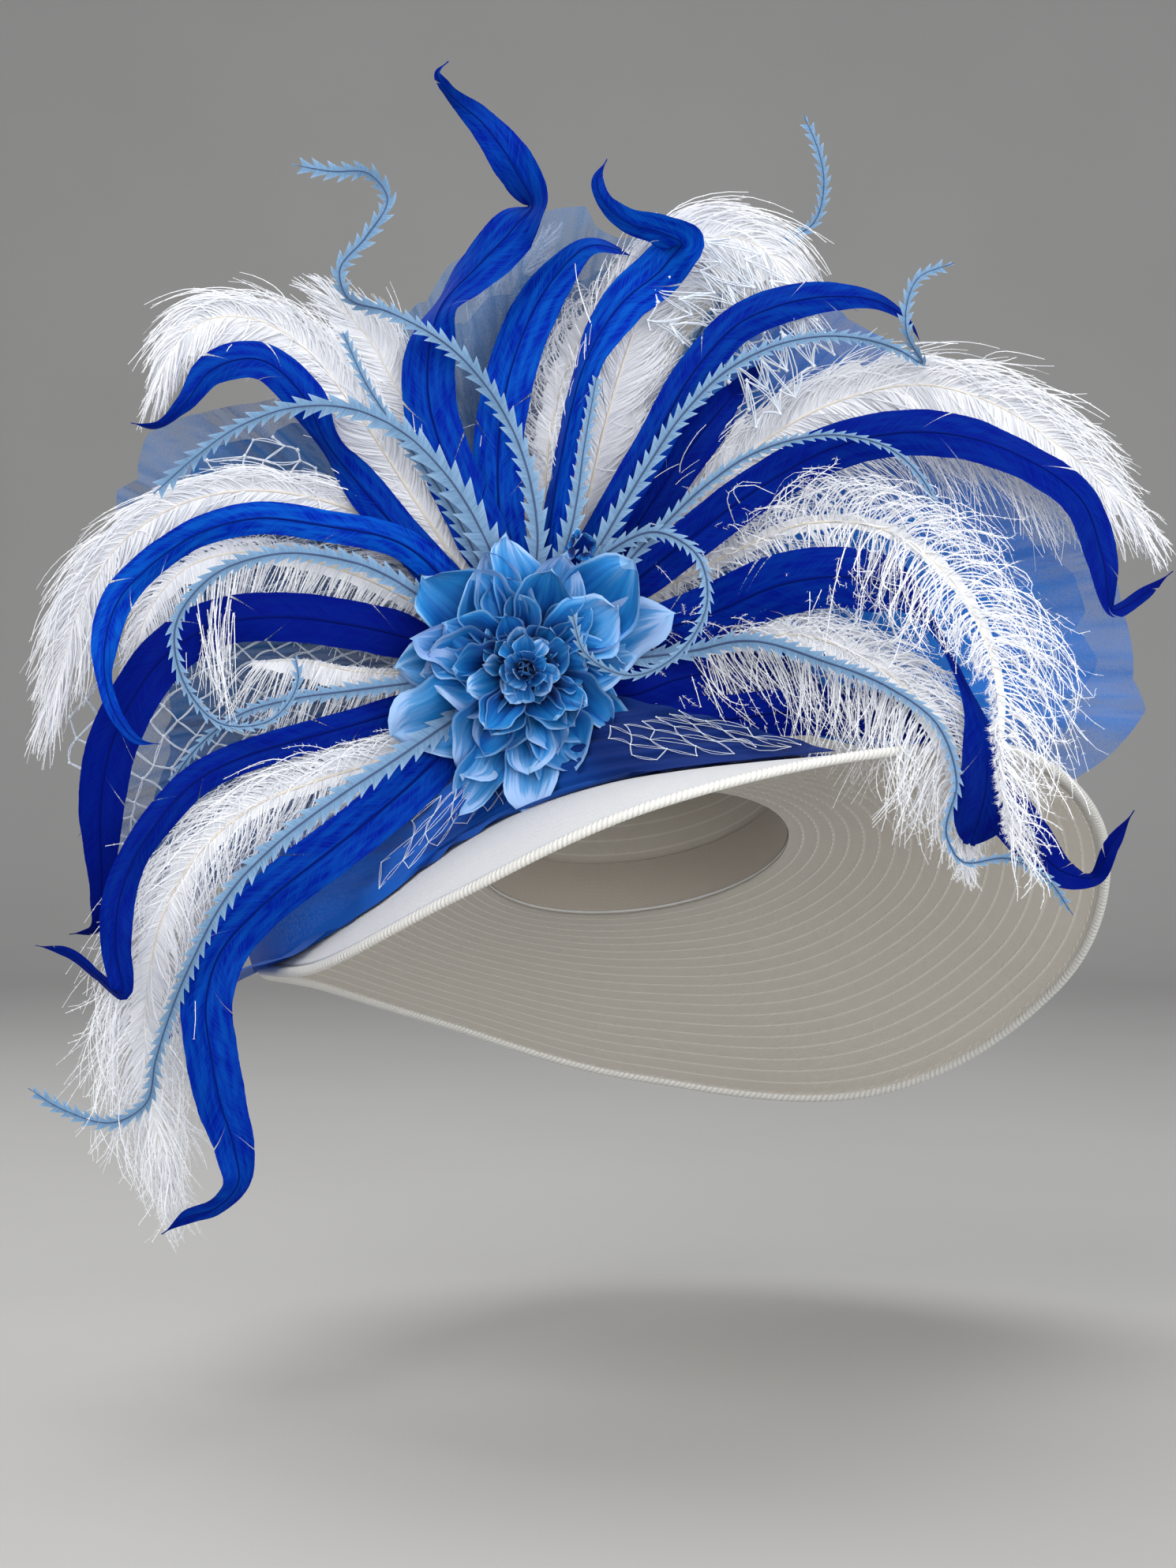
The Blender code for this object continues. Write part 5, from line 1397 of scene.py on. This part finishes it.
def fan_knots(fan, cell, rng):
    """Rows of knots over a fan, every other row offset by half a cell."""
    low, high = fan.rows[0][0], fan.rows[-1][0]
    mean = np.mean([r[1] for r in fan.rows])
    rows = int((mean - HUB_RADIUS_PIXELS) / cell * 1.45)
    columns = max(3, int(math.radians(high - low) * mean * 0.66 / cell))
    share = (np.arange(rows + 1) / rows) ** 0.85
    offset = np.where(np.arange(rows + 1) % 2, 0.25, -0.25)[:, None]
    angle = low + (high - low) * np.clip((np.arange(columns + 1)[None] + offset) / columns, 0, 1)
    share = np.broadcast_to(share[:, None], angle.shape)
    away = rng.normal(0, 1, (2, *angle.shape)) * share
    angle = angle + away[0] * 0.14 * (high - low) / columns
    ruck = 3.0 * ripple(angle * 0.35 + share * 7, int(rng.integers(99))) * share
    return fan_point(fan, angle, np.clip(share + away[1] * 0.13 / rows, 0, 1), ruck)[1:]


def swath_knots(first, last, rng):
    """Rows of knots on part of the front swath, every other row offset by half a cell."""
    rows, columns = np.meshgrid(np.arange(5), np.arange(6), indexing="ij")
    across = (columns + 0.5 * ((rows + 1) % 2)) / 5.5
    t = first + (last - first) * across + rng.normal(0, 0.006, rows.shape)
    return swath_point(t, 0.48 + 0.11 * rows + rng.normal(0, 0.012, rows.shape), 2.5)


def add_strands(shape, starts, ends, thread, rng):
    """Two bowed strands of three-sided thread from each start to its end."""
    count, steps, sides = len(starts), 5, 3
    u = np.linspace(0, 1, steps)[None, :, None]
    span = np.linalg.norm(ends - starts, axis=1)[:, None, None]
    ahead = unit(ends - starts)[:, None]
    across = unit(np.cross(ahead, (0.1, -1, 0.2)))
    deep = np.cross(ahead, across)
    sag = rng.normal(0, 0.05, (count, 1, 3)) * span
    first = (np.arange(count) * steps * sides)[:, None, None]
    base = first + (np.arange(steps - 1) * sides)[None, :, None]
    j = np.arange(sides)[None, None]
    k = (j + 1) % sides
    faces = np.stack([base + j, base + k, base + sides + k, base + sides + j], -1).reshape(-1, 4)
    for strand in (-1, 1):
        bow = across * strand * span * rng.uniform(0.012, 0.05, (count, 1, 1))
        path = starts[:, None] * (1 - u) + ends[:, None] * u + (sag + bow) * 4 * u * (1 - u)
        corners = [
            path + thread * (across * math.cos(a) + deep * math.sin(a)) for a in (0.3, 2.39, 4.49)
        ]
        shape.add(np.stack(corners, 2), faces)


def make_net(name, knots, finish, rng, flat, area, *nodes, thread=NET_THREAD):
    """Knotted net: diamonds of doubled thread between small eight-sided knots."""
    rows, columns = knots.shape[:2]
    pairs = np.array([
        (k * columns + c, (k + 1) * columns + d)
        for k in range(rows - 1) for c in range(columns) for d in (c, c - 1 if k % 2 else c + 1)
        if 0 <= d < columns
    ])
    knots = knots.reshape(-1, 3)
    shape = Shape()
    add_strands(shape, knots[pairs[:, 0]], knots[pairs[:, 1]], thread, rng)
    arms = np.array([(1, 0, 0), (-1, 0, 0), (0, 1, 0), (0, -1, 0), (0, 0, 1), (0, 0, -1)], float)
    size = thread * 3.3 * rng.uniform(0.7, 1.2, (len(knots), 1, 1))
    side = np.array([
        (0, 2, 4), (2, 1, 4), (1, 3, 4), (3, 0, 4), (2, 0, 5), (1, 2, 5), (3, 1, 5), (0, 3, 5)
    ])
    faces = (np.arange(len(knots)) * len(arms))[:, None, None] + side[None]
    shape.add(knots[:, None] + arms[None] * size, faces.reshape(-1, 3))
    made = shape.piece(name + "_threads", finish, "white_net", *nodes)


def make_wrap(finish):
    """Tulle laid in long folds round the crown's foot, out over the brim and off its tip."""
    first, last, rising = WRAP_EDGE[0][0], WRAP_EDGE[-1][0], 0.14
    b, u = np.meshgrid(np.linspace(first, last, 150), np.linspace(0, 1, 46))
    limit = curve(b[0], WRAP_EDGE)[:, 0][None]
    over = smoothstep((-62 - b) / 22)
    climb = np.clip(1 - u / rising, 0, 1)
    run = np.clip((u - rising) / (1 - rising), 0, 1)
    beyond = over * np.clip((u - 0.80) / 0.20, 0, 1)
    share = run * limit * (1 - over) + over * np.clip(run / 0.767, 0, 1) * limit
    folds = np.sin(2 * math.pi * (share * 8.5 + 0.004 * b) + ripple(b / 17, 4) * 1.4)
    fine = ripple(share * 90 + b / 11, 9)
    lift = 0.0024 + 0.0016 * folds * smoothstep(share * 5) + 0.0005 * fine + STRAW
    lift = lift + beyond * 0.006 * np.sin(math.pi * beyond)
    cloth = brim_point(b, share, lift)
    cloth[..., 2] += climb * (0.028 + 0.003 * ripple(b / 7, 22))
    outward = unit(brim_point(b, share, 0, 0.001) - brim_point(b, share, 0))
    eased = 0.0052 * (climb > 0) + 0.0014 * climb * ripple(b / 5, 21)
    ripples = 1 + 0.25 * ripple(b / 3.2, 12)
    hang = smoothstep(beyond) * 0.046
    cloth += outward * eased[..., None]
    cloth += outward * (hang * ripples + 0.004 * beyond)[..., None]
    cloth[..., 2] -= 0.034 * beyond**1.6 * ripples
    # dark: painted shade on the wrap's right part
    shape = Shape()
    shape.sheet(
        tip(cloth), around=np.radians(b) * AROUND["wrap"], row=u * 120,
        dark=smoothstep((b + 20) / 25),
    )
    made = shape.piece("wrap_tulle", finish, "blue_tulle", "tulle_wrap")


def swath_point(t, s, lift):
    """The front swath: t along its edge on the brim from 0 to 1, s from the hub outwards."""
    t, s, lift = alike(t, s, lift)
    found = hermite(t.ravel() * (len(SWATH_EDGE) - 1), np.arange(len(SWATH_EDGE)), SWATH_EDGE)
    bearing, share = found.T.reshape(2, *t.shape)
    edge = tip(brim_point(bearing, share, STRAW + 0.0022))
    low, high = SWATH_TURNS
    hub = round_hub(np.radians(low + (high - low) * t), HUB_RADIUS_PIXELS + HUB_CLEARANCE, SWATH_ROOT)
    point = hub * (1 - s[..., None]) + edge * s[..., None]
    puff = np.sin(math.pi * s) * 4 + lift
    spill = smoothstep(1 - t / 0.34) * np.sin(math.pi * np.clip(s, 0, 1) ** 2.6) * 0.040
    point = point + np.array([0, -1, 0.35]) * (puff / 1000)[..., None]
    return point + np.array([-0.77, 0.30, 0.56]) * spill[..., None]


def make_swath(finish):
    """Tulle puffed out from the hub over the brim's front, in folds along the brim's edge."""
    t, s = np.meshgrid(np.linspace(0, 1, 120), np.linspace(0, 1, 60))
    fold = np.sin(2 * math.pi * (s * 6.5 + 0.6 * ripple(t * 5, 31)) + ripple(t * 9, 33))
    fine = ripple(s * 60 + t * 9, 35)
    lift = (1.5 * fold + 0.45 * fine) * smoothstep(s * 3) * smoothstep((1.02 - s) * 7)
    # dark: painted shade on the swath from about 0.57 of its length on
    shape = Shape()
    shape.sheet(
        swath_point(t, s, lift), around=t * 450, row=s * 150, dark=smoothstep((t - 0.57) / 0.18)
    )
    made = shape.piece("swath_tulle", finish, "blue_tulle")


def flower_axes():
    """The flower's centre, and its directions to the right, up and towards the eye."""
    centre = seen_at(*TRIM_CENTRE, HUB_FRONT)
    facing = unit(EYE - centre)
    right = -unit(np.cross((0, 0, 1), -facing))
    if right[0] < 0:
        right = -right
    return centre, right, unit(np.cross(facing, right)), facing


def petal_places(ring, rng):
    """Direction, reach and width of each petal: from its list, or spread unevenly round."""
    return ring.listed or [
        (ring.first + 360 * (p + rng.uniform(-0.34, 0.34)) / ring.petals,
         ring.reach * rng.uniform(0.74, 1.18), ring.width * rng.uniform(0.8, 1.3))
        for p in range(ring.petals)
    ]


def petal_plan(u, v, reach, width, rng):
    """A petal's half width, and its points to the side and outwards, in millimetres."""
    point = rng.uniform(0.62, 0.92)
    half = u ** rng.uniform(0.9, 1.15) * np.clip(1 - u, 0, 1) ** point
    half = np.maximum(width * 0.54 * half / half.max(), 0.8 * (1 - u))
    wave = 1 + 0.11 * np.sin(u * rng.uniform(7, 11) + rng.uniform(0, 6)) * np.sign(v)
    wave = wave + 0.05 * np.sin(u * 19 + rng.uniform(0, 6) + np.sign(v))
    out = 4 + (reach - 4) * (u - 0.04 * u**3)
    out = out + 0.03 * reach * np.sin(v * 3 + rng.uniform(0, 6)) * smoothstep((u - 0.7) / 0.3)
    return half, v * half * wave, out


def petal_relief(u, v, half, reach, width, cup, roll, rng):
    """A petal's height from its cup, tilt, folds, curl and frill, and how far its sides draw in."""
    body = np.sin(math.pi * np.clip(u * 0.92 + 0.06, 0, 1))
    one_sided = rng.uniform(-1, 1)
    rise = cup * (np.abs(v) ** 1.7 * (1 + 0.8 * np.sign(v) * one_sided)) * body
    drawn_in = 0.30 * rng.uniform(0.0, 0.8) * body * np.abs(v)
    rolled = smoothstep((np.abs(v) - 0.70) / 0.30) * smoothstep(u * 2)
    rise = rise + rolled * width * 0.10 * rng.uniform(-1.0, 1.3)
    rise = rise + (roll * 0.14 + rng.uniform(-0.45, 0.45)) * v * half
    rise = rise - 2.6 * np.exp(-((v / 0.13) ** 2)) * body * width / 34
    crease = rng.uniform(0.3, 0.6) * rng.choice([-1.0, 1.0])
    rise = rise - 1.8 * np.exp(-(((v - crease * (0.4 + 0.6 * u)) / 0.10) ** 2)) * body * width / 30
    rise = rise + 1.1 * np.sin(v * rng.uniform(5, 8) + rng.uniform(0, 6)) * body * width / 30
    curl = rng.uniform(-2.4, 1.6) * reach / 50
    rise = rise + curl * smoothstep((u - 0.62) / 0.38) * 3.0
    frill = np.sin(u * rng.uniform(8, 14) + rng.uniform(0, 6) + v)
    return rise + 0.12 * width * frill * np.abs(v) ** 2.2 * smoothstep(u * 3), drawn_in


def add_petals(shape, ring, rng, roll, rows=19, columns=15, pale=0.0):
    """One ring of cupped, wavy petals, each a curved sheet that overlaps its neighbour."""
    centre, right, up, facing = flower_axes()
    u, v = np.meshgrid(np.linspace(0, 1, rows), np.linspace(-1, 1, columns), indexing="ij")
    for angle, reach, width in petal_places(ring, rng):
        turn = math.radians(angle)
        cup = ring.cup * rng.uniform(0.6, 1.6) * min(1, width / 22)
        high = ring.tip * rng.uniform(0.66, 1.18)
        half, side, out = petal_plan(u, v, reach, width, rng)
        relief, drawn_in = petal_relief(u, v, half, reach, width, cup, roll, rng)
        rise = ring.root + (high - ring.root) * u**1.2 + relief
        side = side * (1 - drawn_in) + rng.uniform(-0.18, 0.18) * u**2 * reach
        outwards = right * math.cos(turn) + up * math.sin(turn)
        sideways = -right * math.sin(turn) + up * math.cos(turn)
        moved = outwards * out[..., None] + sideways * side[..., None] + facing * rise[..., None]
        shape.sheet(
            centre + moved / 1000, share=pale + (1 - pale) * u, across=v, tint=rng.uniform(0, 1),
            inner=min(1.0, max(0.0, 1.2 - reach / 60)),
        )


def make_dahlia(finish):
    """The flower: five rings of petals, a bud by the first and a heart that closes over."""
    centre, right, up, facing = flower_axes()
    rng = np.random.default_rng(23)
    for number, ring in enumerate(DAHLIA):
        shape = Shape()
        add_petals(shape, ring, rng, 1 if number % 2 else -1)
        if number == 0:
            add_petals(shape, BUD, rng, 1, 9, 7)
            shift = seen_at(*BUD_CENTRE, HUB_FRONT + 3) - centre
            shape.points[-BUD.petals:] = [p + shift for p in shape.points[-BUD.petals:]]
        name = f"dahlia_ring_{number + 1}"
        shape.piece(name + "_petals", finish, "dahlia_silk", name)
    shape = Shape()
    for ring in HEART:
        add_petals(shape, ring, rng, 1, 13, 11, 0.5)
    angle = np.arange(16) * 2 * math.pi / 16
    core = np.array([
        [centre + (right * math.cos(a) * r + up * math.sin(a) * r + facing * h) / 1000 for a in angle]
        for r, h in HEART_CORE
    ])
    shape.sheet(core, True, share=0.1, across=0.0, tint=0.3)
    shape.piece("dahlia_heart_petals", finish, "dahlia_silk", "dahlia_heart")


def inside_crown(points):
    """Whether each point lies within the crown's outer face."""
    hat = points @ WORN
    high = (hat[..., 2] - STRAW - GAP) / CROWN_HEIGHT
    wide, deep = crown_size(straight(high, CROWN_PROFILE), STRAW + GAP * 2)
    return (hat[..., 0] / wide) ** 2 + (hat[..., 1] / deep) ** 2 < 1


def make_hub(finish):
    """The bound stems: tape wound in a spiral from the crown to the flower's back."""
    sides, rows, turns = 48, 104, 26
    angle = np.arange(sides) * 2 * math.pi / sides
    # Where each side comes out of the crown, in millimetres forward, found by halving
    low, high = np.full(sides, 20.0), np.full(sides, float(HUB_FRONT))
    for _ in range(24):
        middle = (low + high) / 2
        within = inside_crown(round_hub(angle, HUB_RADIUS_PIXELS, middle))
        low, high = np.where(within, middle, low), np.where(within, high, middle)
    share = np.linspace(0, 1, rows)[:, None]
    forward = high[None] + 0.3 + (HUB_FRONT - 0.4 - high[None]) * share
    wound = share * turns + angle[None] / (2 * math.pi)
    points = round_hub(angle[None], HUB_RADIUS_PIXELS * (0.955 + 0.035 * (wound % 1.0)), forward)
    shape = Shape()
    shape.sheet(points, True, row=wound)
    rings = np.linspace(1, 0.02, 6)
    middle = points[-1].mean(0)
    cap = middle + (points[-1][None] - middle) * rings[:, None, None]
    shape.sheet(cap, True, row=np.repeat(rings * 8, sides))
    shape.piece("stem_drum", finish, "stem_tape", "stem_hub")


def make_backdrop():
    """A pale floor that sweeps up into a plain backdrop."""
    rows, columns = 60, 24
    near, far, floor, bend, rise = -3.2, 2.7, -0.30, 0.9, 3.2
    run = np.linspace(0, 1, rows)
    arc = np.clip((run - 0.5) / 0.2, 0, 1) * math.pi / 2
    y = np.where(run < 0.5, near + (far - near) * run / 0.5, far + bend * np.sin(arc))
    z = np.where(run < 0.5, floor, floor + bend * (1 - np.cos(arc)))
    z = np.where(run > 0.7, floor + bend + (run - 0.7) / 0.3 * rise, z)
    x = np.linspace(-4, 4, columns)
    points = np.stack(np.broadcast_arrays(x[None], y[:, None], z[:, None]), -1).reshape(-1, 3)
    mesh = bpy.data.meshes.new("sweep")
    mesh.from_pydata(points.tolist(), [], grid(rows, columns).tolist())
    mesh.shade_smooth()
    look = Look("sweep_paper", Roughness=0.9)
    grain = look.noise(look.place(), 3.0, 3)
    colour = look.mix(grain, (0.46, 0.455, 0.445), (0.50, 0.495, 0.485))
    mesh.materials.append(look.finish(colour, None, None, 0))
    placed("sweep", mesh)


def make_lights():
    """Soft studio lamps, all turned towards the hat, and a dim even surround."""
    for name, place, size, power, colour in LAMPS:
        lamp = bpy.data.lights.new(name, "AREA")
        lamp.energy = power
        lamp.size = size
        lamp.color = colour
        towards = Vector(LIT_POINT) - Vector(place)
        placed(name, lamp, place, towards.to_track_quat("-Z", "Y").to_euler())
    world = bpy.data.worlds.new("soft_room")
    world.use_nodes = True
    background = world.node_tree.nodes["Background"]
    background.inputs["Color"].default_value = (0.93, 0.95, 1, 1)
    background.inputs["Strength"].default_value = 0.30
    bpy.context.scene.world = world


def make_camera():
    """The camera at the photograph's viewing angle, looking level from the front."""
    camera = bpy.data.cameras.new("photo_angle")
    camera.sensor_fit = "VERTICAL"
    camera.sensor_height = SENSOR
    camera.lens = SENSOR * EYE_DISTANCE / PIXEL / PICTURE_HEIGHT
    bpy.context.scene.camera = placed("photo_angle", camera, EYE, (math.radians(90), 0, 0))
    bpy.context.scene.view_settings.view_transform = "Standard"


def make_hat():
    """The hat itself: brim, edge, crown, band, and the hub that carries the trimming."""
    straw = straw_look()
    make_brim(straw)
    make_stitches(stitch_look())
    make_edge_cord(cord_look())
    make_crown(straw)
    make_sweatband(band_look())
    make_hub(tape_look())


def make_cloth():
    """The fans of tulle, the wrap round the crown's foot and the swath over the brim."""
    looks = {name: tulle_look(*look) for name, look in TULLE_LOOKS.items()}
    for number, (name, layer) in enumerate(TULLE_LAYERS.items()):
        make_tulle(name, layer, looks.get(name, looks[layer.fan]), 40 + number)
    swath = tulle_look("swath_royal", (0.0015, 0.075, 0.38), 0.86)
    make_wrap(swath)
    make_swath(swath)


def make_nets():
    """The fans of net, a scrap of net at the top and two patches on the swath."""
    net = net_look()
    rng = np.random.default_rng(61)
    for name, cell, flat, nodes in NETS:
        knots = fan_knots(FANS[name], cell, rng)
        make_net(name, knots, net, rng, flat, 0.301 * flat[0] * flat[1], *nodes)
    crest = fan_knots(FANS["net_crest"], 30, rng)
    crest = crest[int(len(crest) * 0.68):]
    make_net("net_crest", crest, net, rng, (0.10, 0.06), 0.6 * 0.10 * 0.06)
    for name, first, last in NET_PATCHES:
        knots = swath_knots(first, last, rng)
        make_net(name, knots, net, rng, (0.08, 0.04), 0.305 * 0.08 * 0.04, thread=FINE_THREAD)


def make_feathers():
    """The plumes, the goose blades and the cut quills."""
    plume, blade, quill = plume_look(), blade_look(), quill_look()
    for number, (name, feather) in enumerate(PLUMES.items()):
        make_plume(name, feather, plume, 100 + number)
    for number, (name, feather) in enumerate(BLADES.items()):
        make_blade(name, feather, blade, 200 + number, name)
    make_blade("blade_base", BASE_BLADE, blade, 240)
    for number, (name, feather) in enumerate(QUILLS.items()):
        make_quill(name, feather, quill, 300 + number)


make_backdrop()
make_lights()
make_camera()
make_hat()
make_cloth()
make_nets()
make_feathers()
make_dahlia(petal_look())
